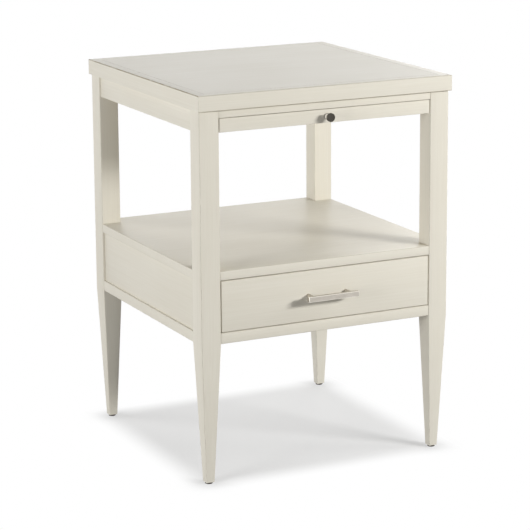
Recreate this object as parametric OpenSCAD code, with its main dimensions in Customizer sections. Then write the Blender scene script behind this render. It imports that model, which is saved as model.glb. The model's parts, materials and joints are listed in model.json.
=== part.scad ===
// Nightstand with a pull-out tray under the top, an open bay and one drawer.
// Millimetres, +Z up, the front faces -Y. The origin is on the floor, under
// the middle of the whole outline, bar pull included.

/* [Overall] */
// Height from the floor to the top face
height = 711.2; // [640:0.1:800]
// Width of the top
top_w = 508; // [440:1:640]
// Depth of the top
top_d = 508; // [460:1:620]

/* [Top] */
// Thickness of the top
top_t = 28.6; // [22:0.1:36]
// Width of the mitred lipping round the top
lipping_w = 19; // [14:0.5:22]
// Thickness of the tongue on each lipping
tongue_t = 6; // [4:0.5:10]
// Depth of that tongue
tongue_d = 6; // [4:0.5:8]
// Chamfer that eases the outer edges of the top
top_ease = 1.2; // [0.4:0.1:3]
// How far the top reaches past the front legs
overhang_front = 6.4; // [2:0.1:14]
// How far the top reaches past the back legs
overhang_back = 6.4; // [2:0.1:14]
// How far the top reaches past the legs at each side
overhang_side = 3.2; // [1:0.1:12]

/* [Legs] */
// Side of the square leg above the taper
leg_s = 38.1; // [32:0.1:46]
// Side of the leg where it meets its glide
foot_s = 16; // [14:0.5:26]
// Chamfer along the edges of the legs
leg_ease = 0.8; // [0.3:0.1:2]
// Width of a foot glide
glide_d = 14; // [10:0.5:20]
// Height of a foot glide
glide_h = 3.4; // [2:0.2:6]
// Chamfer round the foot of a glide
glide_ease = 1; // [0.2:0.1:1.6]
// Thickness of the nail of a glide
glide_nail_d = 3; // [2:0.2:5]
// Length of that nail in the leg
glide_nail_l = 16; // [8:1:30]

/* [Upper frame] */
// Height of the aprons under the top
apron_h = 38.9; // [34:0.1:46]
// Thickness of the aprons
apron_t = 19; // [14:0.5:24]
// How far the aprons stand behind the faces of the legs
apron_recess = 2.8; // [1:0.1:6]
// Height of the flat rail over the tray
rail_h = 14; // [12:0.5:18]
// Depth of that rail
rail_d = 36; // [32:1:44]
// How far fronts, rail and shelf stand behind the faces of the front legs
front_recess = 1; // [0.5:0.1:4]

/* [Tray] */
// Height of the front strip of the tray
tray_front_h = 24.6; // [20:0.1:30]
// Thickness of that strip
tray_front_t = 19; // [14:0.5:24]
// Thickness of the tray panel
tray_t = 14; // [10:0.5:16]
// Gap between the rail and the tray
tray_gap = 1; // [0.5:0.1:2]
// Gap between the tray panel and the inner face of each leg
tray_side_gap = 4; // [2:0.5:8]
// Thickness of the tongue between tray panel and strip
tray_tongue_t = 6; // [4:0.5:8]
// Depth of that tongue
tray_tongue_d = 7; // [4:0.5:9]
// How far the lips of a runner reach over and under the tray
runner_lip = 10; // [6:0.5:16]
// Thickness of the lip that carries the tray
runner_lip_t = 9; // [5:0.5:12]
// How far the tray pulls out
tray_travel = 280; // [180:5:320]
// Width of the stop on the tray
stop_w = 60; // [40:2:120]
// Depth of that stop
stop_d = 20; // [14:1:30]
// Height of that stop
stop_h = 12; // [8:0.5:13]
// Gap behind the closed tray
tray_back_gap = 0.3; // [0.2:0.1:2]

/* [Knob] */
// Width of the round face of the knob
knob_d = 16; // [12:0.5:24]
// Thickness of that round face
knob_face_t = 4; // [3:0.2:6]
// Width of the knob's neck
knob_neck_d = 6.5; // [5.5:0.5:9]
// Width of the knob's foot
knob_foot_d = 11; // [8:0.5:16]
// Thickness of the knob's foot
knob_foot_t = 1.6; // [1:0.2:3]
// How far the knob stands out
knob_reach = 17; // [14:0.5:24]
// How far the middle of the knob lies under the middle of its strip
knob_drop = 0.6; // [0:0.1:2]

/* [Case] */
// Height of the shelf's top face above the floor
shelf_z = 394.5; // [360:0.5:430]
// Thickness of the shelf
shelf_t = 17; // [14:0.5:24]
// Height of the underside of the case above the floor
case_z = 261.6; // [220:0.1:280]
// Thickness of the bottom board
board_t = 20; // [16:0.5:26]
// How far the shelf and board stand behind the legs at the sides and back
board_recess = 0.6; // [0.2:0.1:3]
// Thickness of the side panels
panel_t = 16; // [12:0.5:19]
// How far the panels stand behind the faces of the legs
panel_recess = 4; // [1:0.5:8]
// Thickness of the back panel
back_t = 12; // [10:0.5:16]

/* [Drawer] */
// Gap over and under the drawer front
drawer_gap = 1.2; // [0.8:0.1:3]
// Gap at each end of the drawer front and the tray front
end_gap = 1.5; // [0.8:0.1:3]
// Thickness of the drawer front
drawer_front_t = 19; // [14:0.5:24]
// Height of the sides of the drawer box
box_h = 76; // [64:1:82]
// Thickness of the boards of the drawer box
box_t = 12.7; // [10:0.1:16]
// Gap between the drawer box and the back panel
box_back_gap = 29.2; // [10:0.1:60]
// Thickness of the drawer bottom
bottom_t = 6; // [4:0.5:9]
// Height of the drawer bottom above the lower edge of the box
bottom_up = 9; // [7:0.5:12]
// How deep the drawer bottom sits in its grooves
groove_d = 6; // [4:0.5:8]
// Number of dovetails at each corner
tails = 3; // [2:1:4]
// Slope of the dovetails
tail_slope = 0.14; // [0.1:0.01:0.18]

/* [Slides] */
// Step of the lengths that drawer slides come in
slide_step = 50; // [25:25:50]
// How much of each slide stays engaged when the drawer is fully out
slide_keep = 20; // [20:5:120]
// Height of a slide
slide_h = 45; // [42:0.5:48]
// Width of a slide
slide_w = 12.7; // [12.2:0.1:14]
// Thickness of the sheet steel of the slides
sheet = 1.2; // [1:0.1:1.4]
// Gap between the drawer front and the front ends of the slides
slide_setback = 2; // [1:0.5:6]
// Width of the balls between the outer and the middle channel
ball_outer_d = 2.7; // [2.4:0.1:3]
// Width of the balls between the middle and the inner channel
ball_inner_d = 3.2; // [3:0.1:3.6]
// Balls in each row
balls_per_row = 7; // [4:1:10]

/* [Bar pull] */
// Length of the bar
bar_l = 102; // [90:1:130]
// Height of the bar
bar_h = 10; // [8:0.5:14]
// Depth of the bar
bar_t = 8; // [7:0.5:10]
// Chamfer round the bar
bar_ease = 0.9; // [0.3:0.1:1.5]
// Distance between the two posts
post_pitch = 76; // [64:1:96]
// Width of a post
post_d = 8; // [7:0.5:10]
// How far the bar pull stands out from the drawer front
pull_reach = 29; // [25:0.5:38]
// How deep each post sits in the bar
post_seat = 3; // [2:0.5:4]

/* [Fasteners] */
// Width of the large dowels
dowel_d = 8; // [6:0.5:8]
// Width of the dowels of the back panel
back_dowel_d = 6; // [5:0.5:7]
// Length of the dowels
dowel_l = 30; // [20:1:30]
// How far the dowels reach up into the shelf
shelf_dowel_up = 10; // [7:0.5:11]
// Thickness of the wood screws
screw_d = 4; // [3:0.2:4.6]
// Width of the heads of the wood screws
screw_head_d = 8; // [7:0.5:9]
// Height of the sunk heads
screw_head_h = 2.4; // [1.8:0.2:3]
// Thickness of the machine screws of knob and bar pull
machine_d = 4; // [3:0.2:4.4]
// Width of the heads of the machine screws
machine_head_d = 7.5; // [6.5:0.5:9]
// Height of the heads of the machine screws
machine_head_h = 2.2; // [1.6:0.2:3]
// Height of the flat heads of the slide screws
slide_head_h = 1; // [0.6:0.1:1.1]
// Width of the flat heads of the slide screws
slide_head_d = 6.4; // [6:0.2:8]

/* [Hidden] */
// Gap round a dowel, a nail or a screw in its hole
fit = 0.05;
// Spare depth at the blind end of a hole
blind = 1;
// Gap between the tray and its runners
run_gap = 0.3;
// Gap between the shelf or board and the legs that it goes round
notch_gap = 0.2;
// Gap round tongues, dovetails and the drawer bottom
joint_gap = 0.1;
// Gap between a ball and each of its two tracks
ball_gap = 0.05;
// Gap between the webs of the outer and the middle channel
outer_web_gap = 1.4;
// Gap between the web of the middle channel and the flanges of the inner one
inner_flange_gap = 1.2;
// Gap between the flanges of the middle channel and the drawer side
middle_flange_gap = 1.7;
// Gap between the flanges of the outer channel and the drawer side
outer_flange_gap = 2.2;
// Gap between two stops of a slide when the drawer is fully out
stop_gap = 0.4;
// Length of each stop of a slide, along its travel
catch_l = 4;
// How far a stop stands back from the channel that it slides past
catch_clear = 0.35;
// Wood left between the knob's stud and the groove of the tray panel
stud_wall = 3;
// Room round a screw head in the hole that a driver reaches it through
driver_room = 1;
// Thickness of the slices that a taper is drawn between
slice = 0.01;
// Overcut, so that cuts go clean through a face
cut = 1;

// The bar pull reaches past the top, and the origin allows for it
pull_past = max(0, pull_reach - overhang_front - front_recess);
y_top_front = (pull_past - top_d) / 2;
y_top_back = (pull_past + top_d) / 2;

// Faces of the legs
x_leg_out = top_w / 2 - overhang_side;
x_leg_in = x_leg_out - leg_s;
y_leg_front = y_top_front + overhang_front;
y_leg_back = y_top_back - overhang_back;
y_bay_front = y_leg_front + leg_s;
y_bay_back = y_leg_back - leg_s;

// The plane of the fronts and the levels of the upper frame
y_front = y_leg_front + front_recess;
z_under_top = height - top_t;
z_apron = z_under_top - apron_h;
z_rail = z_under_top - rail_h;
x_apron_mid = x_leg_out - apron_recess - apron_t / 2;
x_apron_in = x_leg_out - apron_recess - apron_t;
y_apron_mid = y_leg_back - apron_recess - apron_t / 2;
y_apron_in = y_leg_back - apron_recess - apron_t;

// The tray
z_tray_top = z_rail - tray_gap;
z_tray_low = z_tray_top - tray_front_h;
z_panel_low = z_tray_top - tray_t;
x_tray = x_leg_in - tray_side_gap;
y_tray_front_back = y_front + tray_front_t;
y_tray_back = y_apron_in - tray_back_gap;
y_rail_back = y_front + rail_d;
y_stop = y_rail_back + tray_travel;
z_knob = z_tray_low + tray_front_h / 2 - knob_drop;

// The runners of the tray
x_groove = x_tray + run_gap;
x_lip = x_tray - runner_lip;
z_runner = z_panel_low - run_gap - runner_lip_t;
y_runner_front = max(y_bay_front, y_rail_back);

// The case
z_shelf_low = shelf_z - shelf_t;
z_board_top = case_z + board_t;
x_panel_out = x_leg_out - panel_recess;
x_panel_in = x_panel_out - panel_t;
x_panel_mid = x_panel_out - panel_t / 2;
y_back_out = y_leg_back - panel_recess;
y_back_mid = y_back_out - back_t / 2;

// The drawer
x_front = x_leg_in - end_gap;
z_drawer_low = z_board_top + drawer_gap;
z_drawer_top = z_shelf_low - drawer_gap;
z_mid = (z_drawer_low + z_drawer_top) / 2;
y_box_front = y_front + drawer_front_t;
y_box_back = y_back_out - back_t - box_back_gap;
x_box = x_leg_in - slide_w;
x_box_in = x_box - box_t;
z_box = z_mid - box_h / 2;
z_bottom = z_box + bottom_up;

// The slides: three channels, one inside the next
y_slide = y_box_front + slide_setback;
slide_l = slide_step * floor((y_box_back - y_slide) / slide_step);
drawer_travel = slide_l - slide_keep;
outer_half = slide_h / 2;
middle_half = outer_half - sheet - ball_outer_d - 2 * ball_gap;
inner_half = middle_half - sheet - ball_inner_d - 2 * ball_gap;
middle_back = sheet + outer_web_gap;
inner_back = middle_back + sheet + inner_flange_gap;
ball_outer_in = middle_back + 2 * sheet + ball_gap + ball_outer_d * 0.35;
ball_inner_in = inner_back + ball_inner_d * 0.75;

// The stops of the slides lie clear of the screw heads, and meet the stop at
// the back end of the next channel when the drawer is fully out
catch_y = slide_l - drawer_travel / 2 - 2 * catch_l - stop_gap;
catch_low = slide_head_d / 2 + catch_l / 2;
catch_high = catch_low + 2 * catch_l;

// The bar pull
y_bar_front = y_front - pull_reach;
y_bar_back = y_bar_front + bar_t;
machine_grip = 8;

// Places of dowels and screws
upper_dowel_z = [z_apron + apron_h * 0.24, z_apron + apron_h * 0.76];
case_dowel_z = [
    z_board_top + (z_shelf_low - z_board_top) * 0.25,
    z_board_top + (z_shelf_low - z_board_top) * 0.75
];
rail_dowel_y = [y_front + rail_d * 0.28, y_front + rail_d * 0.74];
bay_d = y_bay_back - y_bay_front;
shelf_dowel_y = [y_bay_front + bay_d * 0.2, y_bay_front + bay_d * 0.8];
board_screw_y = [for (k = [0.12, 0.5, 0.88]) y_bay_front + bay_d * k];
runner_screw_y = [for (k = [0.1, 0.5, 0.9]) y_bay_front + bay_d * k];
top_screw_y = [y_bay_front + bay_d * 0.3, y_bay_front + bay_d * 0.7];
rail_screw_x = [-x_leg_in * 0.7, 0, x_leg_in * 0.7];
rail_screw_y = max(y_rail_back - screw_head_d, y_top_front + lipping_w + tongue_d + screw_d);
slide_screw_y = [for (k = [0.08, 0.5, 0.92]) y_slide + slide_l * k];
front_screw_x = [-x_box_in * 0.75, x_box_in * 0.75];
front_screw_z = [z_mid - box_h * 0.2, z_mid + box_h * 0.3];
stop_screw_x = [-stop_w * 0.3, stop_w * 0.3];
top_screw_bite = 16;
runner_screw_l = 30;
board_screw_l = 46;
front_screw_l = box_t + drawer_front_t * 0.7;
stop_screw_l = stop_h + tray_t * 0.7;

lacquer = "#dcd7c9";
birch = "#d9bd8f";
beech = "#c79a64";
steel = "#b9bcbf";
nickel = "#b3ada0";
pewter = "#59564f";
glide_brown = "#4a3a2c";

// Helpers

// A box between two corners
module block(a, b) {
    translate(a) cube(b - a);
}

// A box on both sides of the middle, x wide to each side
module wide_block(x, y0, y1, z0, z1) {
    block([-x, y0, z0], [x, y1, z1]);
}

// A round rod along X, Y or Z
module rod_x(x0, x1, d) {
    translate([x0, 0, 0]) rotate([0, 90, 0]) cylinder(h = x1 - x0, d = d, $fn = 32);
}

module rod_y(y0, y1, d) {
    translate([0, y1, 0]) rotate([90, 0, 0]) cylinder(h = y1 - y0, d = d, $fn = 32);
}

module rod_z(z0, z1, d) {
    translate([0, 0, z0]) cylinder(h = z1 - z0, d = d, $fn = 32);
}

// A square with its corners cut off, centred
module soft_square(s, c) {
    h = s / 2;
    polygon([
        [-h + c, -h], [h - c, -h], [h, -h + c], [h, h - c],
        [h - c, h], [-h + c, h], [-h, h - c], [-h, -h + c]
    ]);
}

// A wood screw with a sunk head that points up from the plane z = 0
module sunk_screw(l, grow = 0) {
    cylinder(h = screw_head_h, d1 = screw_head_d + 2 * grow, d2 = screw_d + 2 * grow, $fn = 32);
    cylinder(h = l, d = screw_d + 2 * grow, $fn = 32);
}

// A screw with a flat head behind the plane z = 0 and its shank above it
module flat_screw(l, d, head_d, head_h) {
    translate([0, 0, -head_h]) cylinder(h = head_h, d = head_d, $fn = 32);
    cylinder(h = l, d = d, $fn = 32);
}

// Top

// One lipping of the given length, its outer edge at y = 0, with a tongue
module lipping(l) {
    tongue_half = l / 2 - lipping_w - tongue_d - joint_gap;
    tongue_mid = height - top_t / 2;
    color(lacquer) {
        intersection() {
            translate([l / 2, 0, z_under_top]) rotate([90, 0, -90]) linear_extrude(height = l) polygon([
                [0, top_ease], [-top_ease, 0], [-lipping_w, 0],
                [-lipping_w, top_t], [-top_ease, top_t], [0, top_t - top_ease]
            ]);
            translate([0, 0, z_under_top]) linear_extrude(height = top_t) polygon([
                [-l / 2, 0], [l / 2, 0], [l / 2 - lipping_w, lipping_w], [lipping_w - l / 2, lipping_w]
            ]);
        }
        block(
            [-tongue_half, lipping_w, tongue_mid - tongue_t / 2],
            [tongue_half, lipping_w + tongue_d, tongue_mid + tongue_t / 2]
        );
    }
}

module top_lipping_front() {
    translate([0, y_top_front, 0]) lipping(top_w);
}

module top_lipping_back() {
    translate([0, y_top_back, 0]) rotate([0, 0, 180]) lipping(top_w);
}

module top_lipping_left() {
    translate([-top_w / 2, (y_top_front + y_top_back) / 2, 0]) rotate([0, 0, -90]) lipping(top_d);
}

module top_lipping_right() {
    translate([top_w / 2, (y_top_front + y_top_back) / 2, 0]) rotate([0, 0, 90]) lipping(top_d);
}

// The veneered core of the top, grooved all round and drilled from below
module top_core() {
    x = top_w / 2 - lipping_w;
    y0 = y_top_front + lipping_w;
    y1 = y_top_back - lipping_w;
    z0 = height - top_t / 2 - tongue_t / 2 - joint_gap;
    z1 = height - top_t / 2 + tongue_t / 2 + joint_gap;
    deep = tongue_d + joint_gap;
    color(lacquer) difference() {
        wide_block(x, y0, y1, z_under_top, height);
        wide_block(x + cut, y0 - cut, y0 + deep, z0, z1);
        wide_block(x + cut, y1 - deep, y1 + cut, z0, z1);
        block([-x - cut, y0, z0], [-x + deep, y1, z1]);
        block([x - deep, y0, z0], [x + cut, y1, z1]);
        top_screw_holes();
    }
}

// Legs and feet

// One leg at a corner: straight beside the case and above, tapered below it
module leg(sx, sy) {
    x = sx * (x_leg_out - leg_s / 2);
    y = sy < 0 ? y_leg_front + leg_s / 2 : y_leg_back - leg_s / 2;
    color(lacquer) difference() {
        translate([x, y, 0]) {
            translate([0, 0, case_z]) linear_extrude(height = z_under_top - case_z)
                soft_square(leg_s, leg_ease);
            hull() {
                translate([0, 0, glide_h]) linear_extrude(height = slice) soft_square(foot_s, leg_ease);
                translate([0, 0, case_z - slice]) linear_extrude(height = slice)
                    soft_square(leg_s, leg_ease);
            }
        }
        upper_dowels(sx, sy, fit, blind);
        lower_dowels(sx, sy, fit, blind);
        translate([x, y, 0]) rod_z(glide_h - cut, glide_h + glide_nail_l + blind, glide_nail_d + 2 * fit);
    }
}

module leg_front_left() {
    leg(-1, -1);
}

module leg_front_right() {
    leg(1, -1);
}

module leg_back_left() {
    leg(-1, 1);
}

module leg_back_right() {
    leg(1, 1);
}

// A nail-on glide under each leg
module foot_glides() {
    color(glide_brown) for (sx = [-1, 1], y = [y_leg_front + leg_s / 2, y_leg_back - leg_s / 2])
        translate([sx * (x_leg_out - leg_s / 2), y, 0]) {
            cylinder(h = glide_ease, d1 = glide_d - 2 * glide_ease, d2 = glide_d, $fn = 48);
            rod_z(glide_ease, glide_h, glide_d);
            rod_z(glide_h, glide_h + glide_nail_l, glide_nail_d);
        }
}

// Upper frame

// Dowels of one corner of the upper frame
module upper_dowels(sx, sy, grow = 0, spare = 0) {
    y_face = sy < 0 ? y_bay_front : y_bay_back;
    half = dowel_l / 2 + spare;
    d = dowel_d + 2 * grow;
    for (z = upper_dowel_z) translate([sx * x_apron_mid, 0, z]) rod_y(y_face - half, y_face + half, d);
    if (sy > 0) for (z = upper_dowel_z)
        translate([0, y_apron_mid, z]) rod_x(sx * x_leg_in - half, sx * x_leg_in + half, d);
    if (sy < 0) for (y = rail_dowel_y)
        translate([0, y, z_rail + rail_h / 2]) rod_x(sx * x_leg_in - half, sx * x_leg_in + half, d);
}

module apron_dowels() {
    color(beech) for (sx = [-1, 1], sy = [-1, 1]) upper_dowels(sx, sy);
}

module side_apron(sx) {
    x0 = min(sx * x_apron_in, sx * (x_apron_in + apron_t));
    color(lacquer) difference() {
        block([x0, y_bay_front, z_apron], [x0 + apron_t, y_bay_back, z_under_top]);
        upper_dowels(sx, -1, fit, blind);
        upper_dowels(sx, 1, fit, blind);
        runner_screws(sx, fit, blind);
    }
}

module apron_left() {
    side_apron(-1);
}

module apron_right() {
    side_apron(1);
}

module apron_back() {
    color(lacquer) difference() {
        wide_block(x_leg_in, y_apron_in, y_apron_in + apron_t, z_apron, z_under_top);
        upper_dowels(-1, 1, fit, blind);
        upper_dowels(1, 1, fit, blind);
    }
}

// The flat rail that shows between the top and the tray
module front_top_rail() {
    color(lacquer) difference() {
        wide_block(x_leg_in, y_front, y_rail_back, z_rail, z_under_top);
        upper_dowels(-1, -1, fit, blind);
        upper_dowels(1, -1, fit, blind);
        top_screw_holes();
    }
}

// Screws that hold the top: three in the rail, two in each runner
module top_screw_places() {
    for (x = rail_screw_x) translate([x, rail_screw_y, z_rail]) children(0);
    for (sx = [-1, 1], y = top_screw_y)
        translate([sx * (x_groove + x_apron_in) / 2, y, z_rail]) children(0);
}

module top_screws() {
    color(steel) top_screw_places() sunk_screw(rail_h + top_screw_bite);
}

module top_screw_holes() {
    top_screw_places() sunk_screw(rail_h + top_screw_bite + blind, fit);
}

// Tray

// Screws that fix a runner to its apron, heads in the bottom of the groove
module runner_screws(sx, grow = 0, spare = 0) {
    for (y = runner_screw_y) translate([sx * x_groove, y, z_tray_top - tray_t / 2])
        rotate([0, sx * 90, 0]) sunk_screw(runner_screw_l + spare, grow);
}

module tray_runner_screws() {
    color(steel) for (sx = [-1, 1]) runner_screws(sx);
}

// A grooved runner, shown for the right side and mirrored for the left
module runner(sx) {
    color(birch) difference() {
        mirror([sx < 0 ? 1 : 0, 0, 0]) difference() {
            block([x_lip, y_runner_front, z_runner], [x_apron_in, y_bay_back, z_under_top]);
            block(
                [x_lip - cut, y_runner_front - cut, z_panel_low - run_gap],
                [x_groove, y_bay_back + cut, z_tray_top + run_gap]
            );
            for (y = top_screw_y) translate([(x_groove + x_apron_in) / 2, y, 0])
                rod_z(z_runner - cut, z_rail, screw_head_d + driver_room);
        }
        runner_screws(sx, fit, blind);
        top_screw_holes();
    }
}

module tray_runner_left() {
    runner(-1);
}

module tray_runner_right() {
    runner(1);
}

module tray_panel() {
    z = z_tray_top - tray_t / 2;
    color(lacquer) difference() {
        union() {
            wide_block(x_tray, y_tray_front_back, y_tray_back, z_panel_low, z_tray_top);
            wide_block(
                x_tray, y_tray_front_back - tray_tongue_d, y_tray_front_back,
                z - tray_tongue_t / 2, z + tray_tongue_t / 2
            );
        }
        stop_screws(fit, blind);
    }
}

module tray_front() {
    z = z_tray_top - tray_t / 2;
    half = tray_tongue_t / 2 + joint_gap;
    color(lacquer) difference() {
        wide_block(x_front, y_front, y_tray_front_back, z_tray_low, z_tray_top);
        wide_block(
            x_tray + joint_gap, y_tray_front_back - tray_tongue_d - joint_gap, y_tray_front_back + cut,
            z - half, z + half
        );
        knob_stud(fit, blind);
    }
}

// The block that meets the back of the rail when the tray is fully out
module tray_stop() {
    color(birch) difference() {
        wide_block(stop_w / 2, y_stop, y_stop + stop_d, z_tray_top, z_tray_top + stop_h);
        stop_screws(fit, blind);
    }
}

module stop_screws(grow = 0, spare = 0) {
    for (x = stop_screw_x) translate([x, y_stop + stop_d / 2, z_tray_top + stop_h])
        rotate([180, 0, 0]) sunk_screw(stop_screw_l + spare, grow);
}

module tray_stop_screws() {
    color(steel) stop_screws();
}

// A turned knob with a flat round face
module tray_knob() {
    r = knob_d / 2;
    soft = knob_face_t * 0.25;
    z0 = knob_reach - knob_face_t;
    color(pewter) translate([0, y_front, z_knob]) rotate([90, 0, 0]) difference() {
        rotate_extrude($fn = 64) polygon([
            [0, 0], [knob_foot_d / 2, 0], [knob_foot_d / 2, knob_foot_t],
            [knob_neck_d / 2, knob_foot_t * 2], [knob_neck_d / 2, z0 - soft],
            [r - soft, z0], [r, z0 + soft], [r, knob_reach - soft],
            [r - soft, knob_reach], [0, knob_reach]
        ]);
        translate([0, 0, -cut]) cylinder(h = cut + machine_grip + blind, d = machine_d + 2 * fit, $fn = 32);
    }
}

// The stud that screws into the strip and into the knob
module knob_stud(grow = 0, spare = 0) {
    deep = tray_front_t - tray_tongue_d - stud_wall;
    translate([0, 0, z_knob])
        rod_y(y_front - machine_grip, y_front + deep + spare, machine_d + 2 * grow);
}

module tray_knob_stud() {
    color(steel) knob_stud();
}

// Case

// A board that goes round the four legs
module notched_board(z0, z1) {
    x = x_leg_out - board_recess;
    y1 = y_leg_back - board_recess;
    color(lacquer) difference() {
        wide_block(x, y_front, y1, z0, z1);
        for (sx = [-1, 1]) {
            xa = sx < 0 ? -x_leg_out - cut : x_leg_in - notch_gap;
            xb = sx < 0 ? -x_leg_in + notch_gap : x_leg_out + cut;
            block([xa, y_front - cut, z0 - cut], [xb, y_bay_front + notch_gap, z1 + cut]);
            block([xa, y_bay_back - notch_gap, z0 - cut], [xb, y_leg_back + cut, z1 + cut]);
        }
        children();
    }
}

module shelf() {
    notched_board(z_shelf_low, shelf_z) upright_dowels(fit, blind);
}

module bottom_board() {
    notched_board(case_z, z_board_top) case_screws(fit, blind);
}

// Dowels between the shelf and the side panels
module upright_dowels(grow = 0, spare = 0) {
    for (sx = [-1, 1], y = shelf_dowel_y) translate([sx * x_panel_mid, y, 0]) rod_z(
        z_shelf_low + shelf_dowel_up - dowel_l - spare,
        z_shelf_low + shelf_dowel_up + spare,
        dowel_d + 2 * grow
    );
}

module shelf_dowels() {
    color(beech) upright_dowels();
}

// Screws that go up through the bottom board into the side panels
module case_screws(grow = 0, spare = 0) {
    for (sx = [-1, 1], y = board_screw_y) translate([sx * x_panel_mid, y, case_z])
        sunk_screw(board_screw_l + spare, grow);
}

module board_screws() {
    color(steel) case_screws();
}

// Dowels of one corner of the case
module lower_dowels(sx, sy, grow = 0, spare = 0) {
    y_face = sy < 0 ? y_bay_front : y_bay_back;
    half = dowel_l / 2 + spare;
    for (z = case_dowel_z) {
        translate([sx * x_panel_mid, 0, z]) rod_y(y_face - half, y_face + half, dowel_d + 2 * grow);
        if (sy > 0) translate([0, y_back_mid, z])
            rod_x(sx * x_leg_in - half, sx * x_leg_in + half, back_dowel_d + 2 * grow);
    }
}

module case_dowels() {
    color(beech) for (sx = [-1, 1], sy = [-1, 1]) lower_dowels(sx, sy);
}

module side_panel(sx) {
    x0 = min(sx * x_panel_in, sx * x_panel_out);
    color(lacquer) difference() {
        block([x0, y_bay_front, z_board_top], [x0 + panel_t, y_bay_back, z_shelf_low]);
        lower_dowels(sx, -1, fit, blind);
        lower_dowels(sx, 1, fit, blind);
        upright_dowels(fit, blind);
        case_screws(fit, blind);
        case_slide_screws(sx, fit, blind);
    }
}

module side_panel_left() {
    side_panel(-1);
}

module side_panel_right() {
    side_panel(1);
}

module back_panel() {
    color(lacquer) difference() {
        wide_block(x_leg_in, y_back_out - back_t, y_back_out, z_board_top, z_shelf_low);
        lower_dowels(-1, 1, fit, blind);
        lower_dowels(1, 1, fit, blind);
    }
}

// Slides

// A packing strip that brings the slide out to the inner face of the legs
module slide_cleat(sx) {
    x0 = min(sx * x_leg_in, sx * x_panel_in);
    color(birch) difference() {
        block(
            [x0, y_bay_front, z_mid - outer_half],
            [x0 + x_panel_in - x_leg_in, y_bay_back, z_mid + outer_half]
        );
        case_slide_screws(sx, fit, blind);
    }
}

module slide_cleat_left() {
    slide_cleat(-1);
}

module slide_cleat_right() {
    slide_cleat(1);
}

// Places a channel's section, drawn from the cabinet face inwards, on one side
module slide_side(sx) {
    translate([sx * x_leg_in, y_slide, z_mid]) mirror([sx > 0 ? 1 : 0, 0, 0])
        rotate([90, 0, 0]) mirror([0, 0, 1]) linear_extrude(height = slide_l) children();
}

// The section of the outer channel, with a small lip on each flange
module outer_section() {
    deep = slide_w - outer_flange_gap;
    difference() {
        translate([0, -outer_half]) square([deep, slide_h]);
        translate([sheet, sheet - outer_half]) square([deep - 2 * sheet, slide_h - 2 * sheet]);
        translate([sheet, -outer_half + 2 * sheet]) square([deep, slide_h - 4 * sheet]);
    }
}

// The section of the middle channel
module middle_section() {
    deep = slide_w - middle_flange_gap - middle_back;
    translate([middle_back, -middle_half]) difference() {
        square([deep, 2 * middle_half]);
        translate([sheet, sheet]) square([deep, 2 * middle_half - 2 * sheet]);
    }
}

// The section of the inner channel, which is open towards the cabinet
module inner_section() {
    translate([inner_back, -inner_half]) difference() {
        square([slide_w - inner_back, 2 * inner_half]);
        translate([-sheet, sheet]) square([slide_w - inner_back, 2 * inner_half - 2 * sheet]);
    }
}

// A stop of a slide: x0 and x1 count from the cabinet face inwards, y from the
// front end of the slides, and z0 and z1 from their middle
module catch(sx, x0, x1, y, z0, z1) {
    xa = sx * (x_leg_in - x0);
    xb = sx * (x_leg_in - x1);
    block(
        [min(xa, xb), y_slide + y, z_mid + z0],
        [max(xa, xb), y_slide + y + catch_l, z_mid + z1]
    );
}

module slide_outer(sx) {
    color(steel) difference() {
        union() {
            slide_side(sx) outer_section();
            catch(sx, sheet, middle_back - catch_clear, catch_y, catch_low, catch_high);
        }
        case_slide_screws(sx, fit, blind);
    }
}

module slide_outer_left() {
    slide_outer(-1);
}

module slide_outer_right() {
    slide_outer(1);
}

module slide_middle(sx) {
    web_in = middle_back + sheet;
    color(steel) {
        slide_side(sx) middle_section();
        catch(sx, sheet + catch_clear, middle_back, slide_l - catch_l, catch_low, catch_high);
        for (up = [-1, 1]) catch(
            sx, web_in, inner_back - catch_clear, catch_y,
            up > 0 ? inner_half - catch_l : -inner_half, up > 0 ? inner_half : catch_l - inner_half
        );
    }
}

module slide_middle_left() {
    slide_middle(-1);
}

module slide_middle_right() {
    slide_middle(1);
}

module slide_inner(sx) {
    web_in = middle_back + sheet;
    color(steel) difference() {
        union() {
            slide_side(sx) inner_section();
            for (up = [-1, 1]) catch(
                sx, web_in + catch_clear, inner_back, slide_l - catch_l,
                up > 0 ? inner_half - sheet : -inner_half, up > 0 ? inner_half : sheet - inner_half
            );
        }
        drawer_slide_screws(sx, fit, blind);
    }
}

module slide_inner_left() {
    slide_inner(-1);
}

module slide_inner_right() {
    slide_inner(1);
}

// Rows of balls: the outer rows stay in the back half, the inner rows in front
module slide_balls(sx) {
    row = slide_l * 0.36;
    pitch = row / (balls_per_row - 1);
    z_outer = middle_half + ball_gap + ball_outer_d / 2;
    z_inner = inner_half + ball_gap + ball_inner_d / 2;
    color(steel) for (up = [-1, 1], k = [0:balls_per_row - 1]) {
        translate([sx * (x_leg_in - ball_outer_in), y_slide + slide_l * 0.56 + k * pitch, z_mid + up * z_outer])
            sphere(d = ball_outer_d, $fn = 24);
        translate([sx * (x_leg_in - ball_inner_in), y_slide + slide_l * 0.08 + k * pitch, z_mid + up * z_inner])
            sphere(d = ball_inner_d, $fn = 24);
    }
}

module slide_balls_left() {
    slide_balls(-1);
}

module slide_balls_right() {
    slide_balls(1);
}

// Screws from the outer channel through the cleat into the side panel
module case_slide_screws(sx, grow = 0, spare = 0) {
    l = sheet + x_panel_in - x_leg_in + panel_t * 0.6 + spare;
    for (y = slide_screw_y) translate([sx * (x_leg_in - sheet), y, z_mid]) rotate([0, sx * 90, 0])
        flat_screw(l, screw_d + 2 * grow, slide_head_d, slide_head_h);
}

module slide_screws_case() {
    color(steel) for (sx = [-1, 1]) case_slide_screws(sx);
}

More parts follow.
